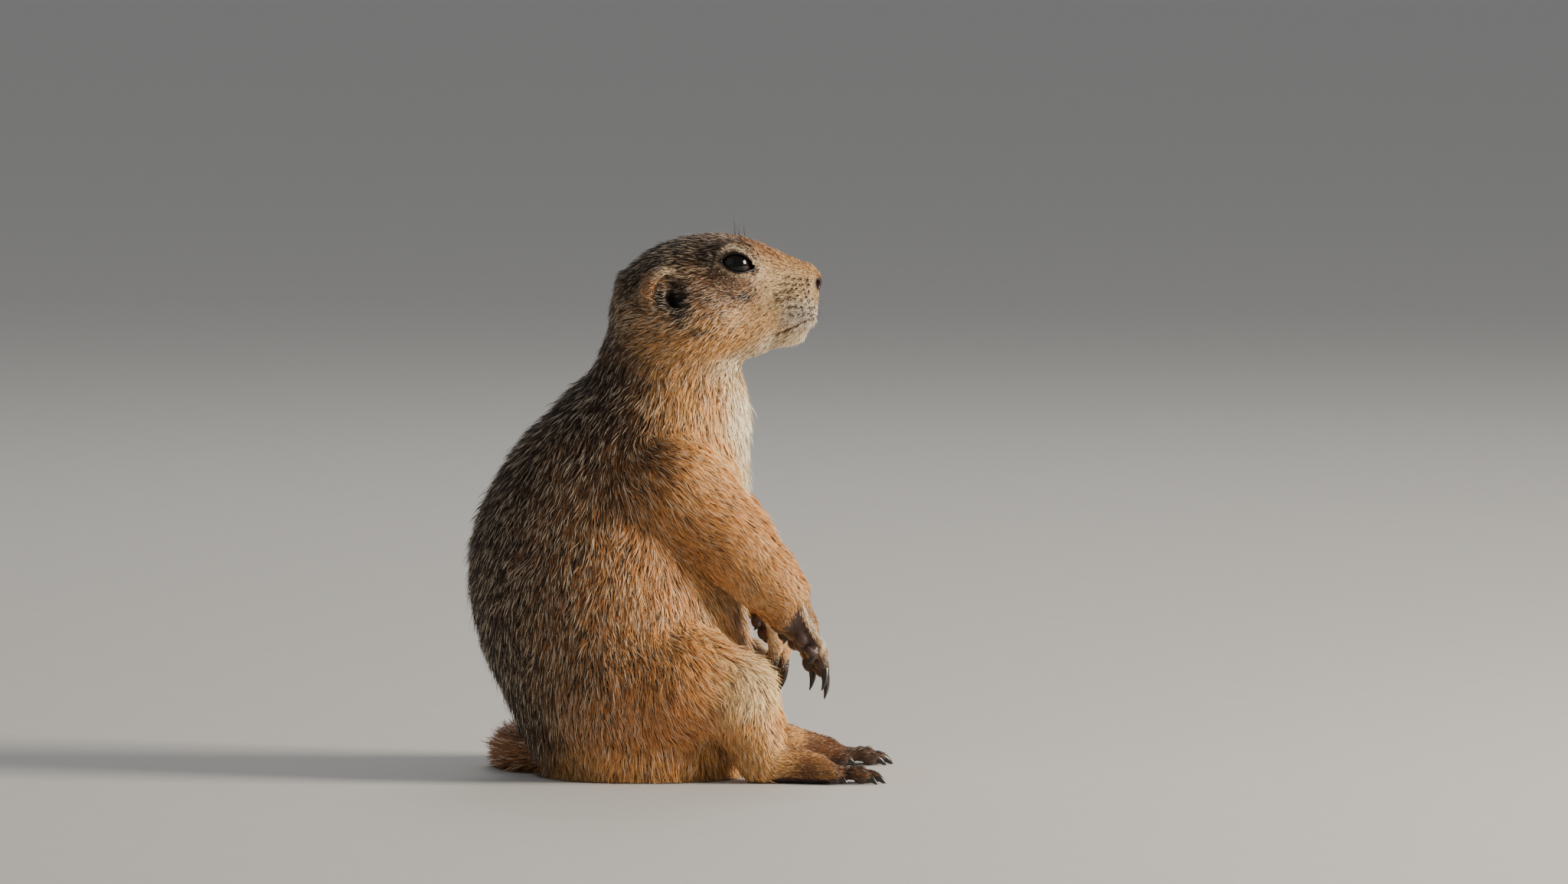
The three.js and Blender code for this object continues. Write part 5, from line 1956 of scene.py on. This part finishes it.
    def blades(self, roots: Roots, cut: Cut, rng: np.random.Generator) -> Tuple[Array, Array, Array]:
        """Shapes the blades.

        Args:
            roots: Their roots.
            cut: How they are cut into steps.
            rng: The draw.

        Returns:
            Their points, two for each ring and one for the tip, the normals there and the clumps' numbers.
        """
        n = len(roots.points)
        length, width = roots.sizes["length"], roots.sizes["width"]
        cell = (self.clump * length)[:, None]
        keys = np.floor(roots.points / np.exp(np.round(np.log(cell) * 2) / 2) + 0.5).astype(np.int64)
        _, clump = np.unique(keys @ np.array([1, 7919, 104729]), return_inverse=True)
        count = np.bincount(clump)
        middle = np.stack([np.bincount(clump, roots.points[:, k]) / count for k in range(3)], axis=-1)
        drift = rng.normal(size=(len(count), 2))
        slow = Ripple(5, self.wave_size).at(roots.points) * self.wave_turn
        turn = slow + self.clump_turn * drift[clump, 0] + rng.normal(size=n) * self.own_turn
        side = np.cross(roots.normals, roots.flow)
        flow = roots.flow * np.cos(turn)[:, None] + side * np.sin(turn)[:, None]
        side = np.cross(roots.normals, flow)
        lift = 1.0 + self.clump_lift * drift[clump, 1] + self.own_lift * rng.normal(size=n)
        lift = np.clip(np.radians(roots.sizes["lift"] * lift), 0.03, 1.0)
        length = length * np.clip(rng.normal(1.0, self.own_length, n), 0.5, 1.5)
        at = roots.points - roots.normals * self.sunk
        rings = [at]
        headings = []
        for here, there in zip(cut.shares, cut.shares[1:]):
            angle = (lift * (1.55 - 0.65 * (here + there)))[:, None]
            heading = flow * np.cos(angle) + roots.normals * np.sin(angle)
            at = at + heading * (length * (there - here))[:, None]
            rings.append(at)
            headings.append(heading)
        pull = (middle[clump] - roots.points) * self.gather
        pull -= roots.normals * (pull * roots.normals).sum(-1, keepdims=True)
        roll = rng.normal(0.0, self.own_roll, n)[:, None]
        tip = len(cut.widths)
        points = np.empty((n, 2 * tip + 1, 3))
        normals = np.empty((n, 2 * tip + 1, 3))
        for k, share in enumerate(cut.shares):
            ring = rings[k] + pull * share**1.5
            heading = headings[min(k, tip - 1)]
            up = unit(np.cross(heading, side))
            across = side * np.cos(roll) + up * np.sin(roll)
            shade = unit(roots.normals * 0.6 + (up * np.cos(roll) - side * np.sin(roll)) * 0.55)
            if k < tip:
                half = (width * cut.widths[k] / 2)[:, None]
                points[:, 2 * k] = ring - across * half
                points[:, 2 * k + 1] = ring + across * half
                normals[:, 2 * k] = normals[:, 2 * k + 1] = shade
            else:
                points[:, -1] = ring
                normals[:, -1] = shade
        under = np.maximum(self.floor_gap - points[..., 2], 0.0)[..., None]
        away = roots.normals * np.array([1.0, 1.0, 0.0])
        points = points + unit(away)[:, None, :] * under * 0.8
        points[..., 2] = np.maximum(points[..., 2], self.floor_gap)
        return points, normals, clump

    def colours(self, roots: Roots, cut: Cut, clump: Array, rng: np.random.Generator) -> Array:
        """Colours the blades from root to tip.

        Args:
            roots: Their roots.
            cut: How they are cut into steps.
            clump: Each blade's clump number.
            rng: The draw.

        Returns:
            Linear colours, one for each of a blade's points.
        """
        n = len(roots.points)
        base = self.markings_and_shade.coat(roots.points)
        dark_share, pale_share = self.markings_and_shade.grizzle(roots.points)
        palette = self.markings_and_shade.palette
        tone = 1.0 + self.clump_tone * rng.normal(size=clump.max() + 1)[clump]
        base = base * (tone + self.own_tone * rng.normal(size=n))[:, None]
        draw = rng.random(n)
        dark = (draw < dark_share)[:, None]
        pale = (draw > 1 - pale_share)[:, None]
        tip = len(cut.widths)
        out = np.empty((n, 2 * tip + 1, 3))
        for k, share in enumerate(cut.shares):
            colour = base * np.interp(share, *self.lighter)
            darkest = mixed(colour, palette.of("dark"), np.interp(share, *self.darkened))
            colour = np.where(dark, darkest, colour)
            palest = mixed(colour, palette.of("silver"), np.interp(share, *self.silvered))
            out[:, 2 * k : 2 * k + 2] = linear(np.where(pale, palest, colour))[:, None]
        return out

    def mesh(self, region: Region, roots: Roots, seed: int) -> Piece:
        """Builds one region's blades as a mesh.

        Args:
            region: The region.
            roots: Its roots.
            seed: The draw's seed.

        Returns:
            The object.
        """
        rng = np.random.default_rng(seed)
        cut = LONG_CUT if region.part in LONG_HAIRED else SHORT_CUT
        points, normals, clump = self.blades(roots, cut, rng)
        colours = self.colours(roots, cut, clump, rng)
        quads, tips = cut.faces(len(points))
        piece = make_mesh(f"coat_{region.value}", self.place.metres(points.reshape(-1, 3)), [quads, tips])
        mesh = piece.data
        paint(mesh, colours.reshape(-1, 3))
        flat = self.unwrap(region, roots.points)
        corner = [[across, share] for share in cut.shares[:-1] for across in (0.0, 1.0)] + [[0.5, 1.0]]
        corner = np.array(corner) * self.patch
        uv = (flat[:, None, :] + corner[None]).reshape(-1, 2)
        loops = np.concatenate([quads.ravel(), tips.ravel()])
        layer = mesh.uv_layers.new(name="OFBake")
        layer.data.foreach_set("uv", uv[loops].astype(np.float32).ravel())
        mesh.normals_split_custom_set_from_vertices(normals.reshape(-1, 3).astype(np.float32))
        return piece

    def build(self, piece: Piece) -> List[Piece]:
        """Builds the whole coat.

        Args:
            piece: The skin's object.

        Returns:
            The coat's pieces.
        """
        roots = self.roots(piece)
        region = self.regions(roots.points)
        made = []
        for number, name in enumerate(Region):
            own = roots.chosen(region == number)
            log.info("coat %s: %d blades", name.value, len(own.points))
            made.append(self.mesh(name, own, self.seed + number + 1))
        return made


def paint(mesh: bpy.types.Mesh, colours: Array) -> None:
    """Gives a mesh's vertices their colours, which the materials read.

    Args:
        mesh: The mesh.
        colours: Linear colours, one for each vertex.
    """
    layer = mesh.color_attributes.new(name=MARKS, type="FLOAT_COLOR", domain="POINT")
    values = np.ones((len(colours), 4), np.float32)
    values[:, : colours.shape[1]] = colours
    layer.data.foreach_set("color", values.ravel())


# Eyes, claws and whiskers


def tube(rings: Sequence[Tuple[Array, Array, Array]], sides: int) -> Shape:
    """A closed tube through oval rings.

    Args:
        rings: For each ring its middle and its two half axes.
        sides: How many sides it has.

    Returns:
        Its points, its quads, and the triangles of its ends.
    """
    turn = np.arange(sides) / sides * 2 * np.pi
    points = [at + np.cos(turn)[:, None] * wide + np.sin(turn)[:, None] * deep for at, wide, deep in rings]
    points += [rings[0][0][None], rings[-1][0][None]]
    s = np.arange(sides)
    t = (s + 1) % sides
    last = (len(rings) - 1) * sides
    quads = [np.stack([r + s, r + t, r + sides + t, r + sides + s], -1) for r in range(0, last, sides)]
    first_cap = np.stack([t, s, np.full(sides, last + sides)], -1)
    last_cap = np.stack([last + s, last + t, np.full(sides, last + sides + 1)], -1)
    return np.concatenate(points), np.concatenate(quads), np.concatenate([first_cap, last_cap])


def joined(parts: Sequence[Shape]) -> Shape:
    """Several tubes as one set of points and faces.

    Args:
        parts: The tubes.

    Returns:
        Their points, quads and triangles together.
    """
    starts = np.cumsum([0] + [len(points) for points, _, _ in parts])
    return (
        np.concatenate([points for points, _, _ in parts]),
        np.concatenate([quads + start for (_, quads, _), start in zip(parts, starts)]),
        np.concatenate([caps + start for (_, _, caps), start in zip(parts, starts)]),
    )


@dataclass(frozen=True)
class Eye(Part):
    """The ball of an eye, with the bulge of its cornea over a wide dark pupil."""

    slot: ClassVar[Slot] = Slot.EYE
    socket: EyeSocket
    side: float
    place: Frame
    rings: int = 40
    sides: int = 48
    pupil: float = 25.0
    iris: float = 50.0
    bulge: float = 0.035
    pupil_colour: Colour = (0.0022, 0.0018, 0.0016)
    iris_colour: Colour = (0.016, 0.0085, 0.005)
    edge_colour: Colour = (0.006, 0.004, 0.003)

    def build(self, name: str) -> Piece:
        """Builds the eye.

        Args:
            name: The piece's name.

        Returns:
            Its object.
        """
        ahead, up, out = self.socket.axes(self.side)
        centre = np.array(self.socket.at) * to_side(self.side)
        turned = np.degrees(np.linspace(0.006, np.pi - 0.006, self.rings))
        rings = []
        for angle in turned:
            radius = self.socket.radius * (1.0 + self.bulge * float(smoothstep(42, 8, np.array(angle))))
            at = centre + out * radius * np.cos(np.radians(angle))
            size = radius * np.sin(np.radians(angle))
            rings.append((at, ahead * size, up * size * self.side))
        points, quads, caps = tube(rings, self.sides)
        piece = make_mesh(name, self.place.metres(points), [quads, caps])
        angles = np.degrees(np.arccos(np.clip(unit(points - centre) @ out, -1, 1)))
        paint(piece.data, self.colours(angles, points))
        return piece

    def colours(self, angles: Array, points: Array) -> Array:
        """The eye's colours by their angle from its axis.

        Args:
            angles: Angles in degrees.
            points: The points, for the iris's streaks.

        Returns:
            Linear colours.
        """
        streaks = (1.0 + 0.3 * Ripple(3, 1.2).at(points))[:, None]
        inner = smoothstep(self.pupil - 1.5, self.pupil + 2.0, angles)[:, None]
        outer = smoothstep(self.iris - 5.0, self.iris + 6.0, angles)[:, None]
        colour = mixed(np.array(self.pupil_colour), np.array(self.iris_colour) * streaks, inner)
        return mixed(colour, np.array(self.edge_colour), outer)


@dataclass(frozen=True)
class Claws(Part):
    """The claws of one paw: oval horns that bend down to a worn point."""

    slot: ClassVar[Slot] = Slot.CLAW
    digits: Tuple[Digit, ...]
    frame: PawFrame
    place: Frame
    sides: int = 12
    steps: int = 12
    flat: float = 0.95
    deep: float = 1.2
    bend: Tuple[float, float] = (6.0, 50.0)
    overlap: float = 1.2
    coarse: int = 4
    thick: float = 0.6
    worn: float = 0.9
    floor_gap: float = 0.05

    def claw(self, digit: Digit) -> Shape:
        """One claw.

        Args:
            digit: The digit that it stands on.

        Returns:
            Its points, quads and triangles.
        """
        _, knuckle, tip = digit.joints()
        ahead = unit(tip - knuckle)
        across = unit(np.array([-ahead[1], ahead[0], 0.0]))
        at = tip - ahead * self.overlap + np.array([0, 0, digit.radius * 0.2])
        rings = []
        length = (digit.claw + self.overlap) / self.steps
        for n in range(self.steps + 1):
            t = n / self.steps
            bend = np.radians(self.bend[0] + (self.bend[1] - self.bend[0]) * max(t - 0.5 / self.coarse, 0.0))
            way = ahead * np.cos(bend) + np.cross(across, ahead) * np.sin(bend)
            size = digit.radius * self.thick * (1 - self.worn * t**1.7)
            up = np.cross(way, across)
            wide, deep = across * size * self.flat, up * size * self.deep
            rings.append((self.frame.world(at), self.frame.turn(wide), self.frame.turn(deep)))
            at = at + way * length
        return tube(rings, self.sides)

    def build(self, name: str) -> Piece:
        """Builds the paw's claws as one piece.

        Args:
            name: The piece's name.

        Returns:
            Its object.
        """
        points, quads, caps = joined([self.claw(digit) for digit in self.digits])
        points[:, 2] = np.maximum(points[:, 2], self.floor_gap)
        return make_mesh(name, self.place.metres(points), [quads, caps])


@dataclass(frozen=True)
class Whiskers(Part):
    """The whiskers of both sides: rows on the muzzle, and a few over each eye and on each cheek."""

    slot: ClassVar[Slot] = Slot.CLAW
    anatomy: Anatomy
    place: Frame
    seed: int = 12
    sides: int = 5
    steps: int = 12
    radius: float = 0.11
    bulb: float = 0.36
    brow: Tuple[Triple, ...] = ((36.0, 12.5, 228.0), (38.0, 13.0, 227.2), (40.0, 13.2, 226.2))
    cheek: Tuple[Triple, ...] = ((41.0, 24.0, 204.7), (22.4, 30.0, 191.8))

    def on_skin(self, places: Array) -> Array:
        """Sets points of one side on the skin."""
        return project(np.array(places, float), self.anatomy.outside, rounds=8, most=2.0)

    def whisker(self, root: Array, way: Array, length: float, sag: float) -> Shape:
        """One whisker, a thin tapered tube that bends under its weight.

        Args:
            root: Its root.
            way: The way that it leaves the skin.
            length: Its length.
            sag: How much it bends down.

        Returns:
            Its points, quads and triangles.
        """
        rings = []
        for n in range(self.steps + 1):
            t = (n / self.steps) ** 2
            heading = unit(way + np.array([0, 0, -sag * t / 2]))
            wide = unit(np.cross(heading, np.array([0.3, 0.1, 1.0])))
            deep = np.cross(heading, wide)
            size = self.radius * (1 - 0.86 * t) + self.bulb * np.exp(-((t * length / 1.1) ** 2))
            at = root + heading * (length * t - 0.4)
            rings.append((at, wide * size, deep * size))
        return tube(rings, self.sides)

    def build(self, name: str) -> Piece:
        """Builds all the whiskers as one piece.

        Args:
            name: The piece's name.

        Returns:
            Its object.
        """
        rng = np.random.default_rng(self.seed + 1)
        hairs = []
        for side in SIDES.values():
            turn = to_side(side)
            flat = follicles()
            for root in self.on_skin(np.stack([flat[:, 0], np.full(len(flat), 9.0), flat[:, 1]], axis=-1)):
                back = np.clip((69.0 - root[0]) / 14.0, 0.0, 1.0)
                way = unit(np.array([0.35 - 1.1 * back, 0.85, -0.28]) + rng.normal(0, 0.16, 3))
                length = rng.uniform(7.0, 12.0) + 11.0 * back
                hairs.append(self.whisker(root * turn, way * turn, length, rng.uniform(0.25, 0.6)))
            for root in self.on_skin(self.brow):
                way = unit(np.array([-0.12, 0.3, 1.0]) + rng.normal(0, 0.1, 3))
                hairs.append(self.whisker(root * turn, way * turn, rng.uniform(8.5, 11.5), 0.0))
            for root in self.on_skin(self.cheek):
                for _ in range(2):
                    way = unit(np.array([-0.3, 0.8, -0.3]) + rng.normal(0, 0.2, 3))
                    hairs.append(self.whisker(root * turn, way * turn, rng.uniform(8.0, 13.0), 0.4))
        points, quads, caps = joined(hairs)
        return make_mesh(name, self.place.metres(points), [quads, caps])


# Materials


class Sheet:
    """A node tree that is being laid out: adds nodes and links them."""

    def __init__(self, tree: bpy.types.NodeTree) -> None:
        """Starts on a tree."""
        self.tree = tree

    def add(self, kind: str, inputs: Optional[Inputs] = None, **settings: object) -> bpy.types.Node:
        """Adds a node.

        Args:
            kind: The node's type.
            inputs: Its inputs by name or number: an output socket to link, or a value.
            settings: Its properties.

        Returns:
            The node.
        """
        node = self.tree.nodes.new(kind)
        for name, value in settings.items():
            setattr(node, name, value)
        for name, value in (inputs or {}).items():
            if isinstance(value, bpy.types.NodeSocket):
                self.tree.links.new(value, node.inputs[name])
            else:
                node.inputs[name].default_value = value
        return node

    def mix(self, share: object, a: object, b: object, mode: str = "MIX") -> bpy.types.NodeSocket:
        """Mixes two colours."""
        node = self.add("ShaderNodeMix", {0: share, 6: a, 7: b}, data_type="RGBA", blend_type=mode)
        return node.outputs[2]

    def scale(self, value: object, low: float, high: float) -> bpy.types.NodeSocket:
        """Moves a value from 0..1 to another range."""
        node = self.add("ShaderNodeMapRange", {"Value": value, "To Min": low, "To Max": high})
        return node.outputs["Result"]

    def place(self) -> bpy.types.NodeSocket:
        """The piece's own coordinates."""
        return self.add("ShaderNodeTexCoord").outputs["Object"]

    def noise(self, scale: object, detail: float) -> bpy.types.NodeSocket:
        """Soft noise over those coordinates, from 0 to 1."""
        inputs = {"Vector": self.place(), "Scale": scale, "Detail": detail}
        return self.add("ShaderNodeTexNoise", inputs).outputs["Fac"]

    def group(self, name: str, **values: float) -> bpy.types.Node:
        """Places one of the groups with its own values."""
        return self.add("ShaderNodeGroup", values, node_tree=GROUPS[name])


def new_group(name: str, inputs: Dict[str, str], outputs: Dict[str, str]) -> Tuple[bpy.types.NodeTree, Sheet]:
    """Starts a shader node group.

    Args:
        name: Its name.
        inputs: Its inputs' names and socket types.
        outputs: Its outputs' names and socket types.

    Returns:
        The group and a sheet to lay it out.
    """
    group = bpy.data.node_groups.new(name, "ShaderNodeTree")
    for label, kind in inputs.items():
        group.interface.new_socket(label, in_out="INPUT", socket_type=kind)
    for label, kind in outputs.items():
        group.interface.new_socket(label, in_out="OUTPUT", socket_type=kind)
    return group, Sheet(group)


FLOAT = "NodeSocketFloat"
COLOUR = "NodeSocketColor"
GROUPS: Dict[str, bpy.types.NodeTree] = {}


def marks_group() -> bpy.types.NodeTree:
    """The painted marks, with their painted shade and painted light, and a fine mottle over them.

    Returns:
        The group, with Scale and Amount going in and Color coming out.
    """
    group, sheet = new_group("marks_with_mottle", {"Scale": FLOAT, "Amount": FLOAT}, {"Color": COLOUR})
    ins, outs = sheet.add("NodeGroupInput"), sheet.add("NodeGroupOutput")
    marks = sheet.add("ShaderNodeVertexColor", layer_name=MARKS)
    tone = sheet.scale(sheet.noise(ins.outputs["Scale"], 3.0), 0.6, 1.4)
    mottled = sheet.mix(1.0, marks.outputs["Color"], tone, "MULTIPLY")
    group.links.new(sheet.mix(ins.outputs["Amount"], marks.outputs["Color"], mottled), outs.inputs["Color"])
    return group


def pores_group() -> bpy.types.NodeTree:
    """Fine pores and creases of bare skin, as a height.

    Returns:
        The group, with Scale going in and Height coming out.
    """
    group, sheet = new_group("pores", {"Scale": FLOAT}, {"Height": FLOAT})
    ins, outs = sheet.add("NodeGroupInput"), sheet.add("NodeGroupOutput")
    cells = sheet.add("ShaderNodeTexVoronoi", {"Vector": sheet.place(), "Scale": ins.outputs["Scale"]})
    heights = {0: cells.outputs["Distance"], 1: sheet.noise(900.0, 4.0)}
    total = sheet.add("ShaderNodeMath", heights, operation="ADD")
    group.links.new(total.outputs[0], outs.inputs["Height"])
    return group


@dataclass(frozen=True)
class Finish:
    """A finish: the material's name and what its surface is like."""

    name: str
    roughness: float
    specular: float = 0.5

    def start(self) -> Tuple[bpy.types.Material, Sheet, bpy.types.Node]:
        """Starts the material.

        Returns:
            The material, a sheet over its nodes and its shader.
        """
        material = bpy.data.materials.new(self.name)
        material.use_nodes = True
        sheet = Sheet(material.node_tree)
        shader = material.node_tree.nodes["Principled BSDF"]
        shader.inputs["Roughness"].default_value = self.roughness
        shader.inputs["Specular IOR Level"].default_value = self.specular
        return material, sheet, shader

    def marked(self, sheet: Sheet, shader: bpy.types.Node, scale: float, amount: float) -> None:
        """Colours the shader by the painted marks, with their painted shade and painted light, under a mottle
        of one scale and strength.
        """
        marks = sheet.group("marks", Scale=scale, Amount=amount)
        sheet.tree.links.new(marks.outputs["Color"], shader.inputs["Base Color"])

    def bumped(
        self, sheet: Sheet, shader: bpy.types.Node, height: object, strength: float, depth: float
    ) -> None:
        """Bumps the shader's normal."""
        bumps = sheet.add("ShaderNodeBump", {"Strength": strength, "Distance": depth, "Height": height})
        sheet.tree.links.new(bumps.outputs["Normal"], shader.inputs["Normal"])


@dataclass(frozen=True)
class CoatFinish(Finish):
    """Hair: painted marks with painted shade and painted light, soft gloss and a little sheen."""

    mottle: Tuple[float, float] = (900.0, 0.35)
    sheen: float = 0.1
    sheen_roughness: float = 0.4

    def make(self) -> bpy.types.Material:
        """Makes the material.

        Returns:
            The material.
        """
        material, sheet, shader = self.start()
        self.marked(sheet, shader, *self.mottle)
        shader.inputs["Sheen Weight"].default_value = self.sheen
        shader.inputs["Sheen Roughness"].default_value = self.sheen_roughness
        return material


@dataclass(frozen=True)
class SkinFinish(Finish):
    """Skin: painted marks with painted shade, matt under the hair and a little glossy where it is bare, with
    pores.
    """

    mottle: Tuple[float, float] = (500.0, 0.5)
    bare_roughness: float = 0.36
    pore_scale: float = 1500.0
    pore_bump: Tuple[float, float] = (0.35, 0.0002)

    def make(self) -> bpy.types.Material:
        """Makes the material.

        Returns:
            The material.
        """
        material, sheet, shader = self.start()
        marks = sheet.add("ShaderNodeVertexColor", layer_name=MARKS)
        gloss = sheet.scale(marks.outputs["Alpha"], self.roughness, self.bare_roughness)
        sheet.tree.links.new(gloss, shader.inputs["Roughness"])
        self.marked(sheet, shader, *self.mottle)
        pores = sheet.group("pores", Scale=self.pore_scale)
        self.bumped(sheet, shader, pores.outputs["Height"], *self.pore_bump)
        return material


@dataclass(frozen=True)
class EyeFinish(Finish):
    """The eye: dark iris and pupil under a wet clear coat."""

    mottle: Tuple[float, float] = (1200.0, 0.3)
    wet_roughness: float = 0.02
    wet_bend: float = 1.38

    def make(self) -> bpy.types.Material:
        """Makes the material.

        Returns:
            The material.
        """
        material, sheet, shader = self.start()
        self.marked(sheet, shader, *self.mottle)
        shader.inputs["Coat Weight"].default_value = 1.0
        shader.inputs["Coat Roughness"].default_value = self.wet_roughness
        shader.inputs["Coat IOR"].default_value = self.wet_bend
        return material


@dataclass(frozen=True)
class HornFinish(Finish):
    """Claws and whiskers: dark horn with paler flecks."""

    colour: Colour = (0.009, 0.007, 0.006)
    streak: Colour = (0.028, 0.02, 0.016)
    streak_scale: float = 700.0
    streak_bump: Tuple[float, float] = (0.2, 0.0001)

    def make(self) -> bpy.types.Material:
        """Makes the material.

        Returns:
            The material.
        """
        material, sheet, shader = self.start()
        noise = sheet.noise(self.streak_scale, 4.0)
        colour = sheet.mix(noise, (*self.colour, 1.0), (*self.streak, 1.0))
        sheet.tree.links.new(colour, shader.inputs["Base Color"])
        self.bumped(sheet, shader, noise, *self.streak_bump)
        return material


@dataclass(frozen=True)
class FloorFinish(Finish):
    """The pale floor."""

    colour: Colour = (0.62, 0.61, 0.59)
    grain: float = 60.0

    def make(self) -> bpy.types.Material:
        """Makes the material.

        Returns:
            The material.
        """
        material, sheet, shader = self.start()
        tone = sheet.scale(sheet.noise(self.grain, 2.0), 0.97, 1.03)
        colour = sheet.mix(1.0, (*self.colour, 1.0), tone, "MULTIPLY")
        sheet.tree.links.new(colour, shader.inputs["Base Color"])
        return material


def main() -> None:
    """Builds the scene, piece by piece."""
    logging.basicConfig(level=logging.INFO, format="%(message)s")
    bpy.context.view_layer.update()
    place = Frame.from_cad()
    studio = Studio()
    studio.camera(place)
    studio.lights()
    GROUPS["marks"] = marks_group()
    GROUPS["pores"] = pores_group()
    floor = studio.floor()
    floor.data.materials.append(FloorFinish("floor_pale", 0.75, 0.2).make())

    anatomy = Anatomy()
    markings_and_shade = MarkingsAndShade(anatomy)
    lie = Lie(anatomy)
    coat_material = CoatFinish("hair", 0.5, 0.35).make()
    skin_material = SkinFinish("skin", 0.62, 0.35).make()
    horn = HornFinish("horn", 0.24, 0.5).make()
    eye_material = EyeFinish("eye", 0.4, 0.0).make()

    skin = Skin(anatomy, place)
    piece = skin.build()
    paint(piece.data, skin.colours(markings_and_shade, lie))
    skin.dress(piece, skin_material, flesh_nodes())
    coat = Coat(skin, markings_and_shade, lie, place)
    for region in coat.build(piece):
        coat.dress(region, coat_material)
    for name, side in SIDES.items():
        eye = Eye(anatomy.head.eye, side, place)
        eye.dress(eye.build(f"eyeball_{name}"), eye_material, [f"eye_{name}"])
        for paw, leg in (("hand", FORELEGS[name]), ("foot", HINDLEGS[name])):
            claws = Claws(getattr(leg, paw).digits, leg.frame(), place)
            nodes = [f"{paw}_claw_{name}_{digit.name}" for digit in claws.digits]
            claws.dress(claws.build(f"{paw}_claws_{name}"), horn, nodes)
    whiskers = Whiskers(anatomy, place)
    whiskers.dress(whiskers.build("whiskers"), horn)


if __name__ == "__main__":
    main()
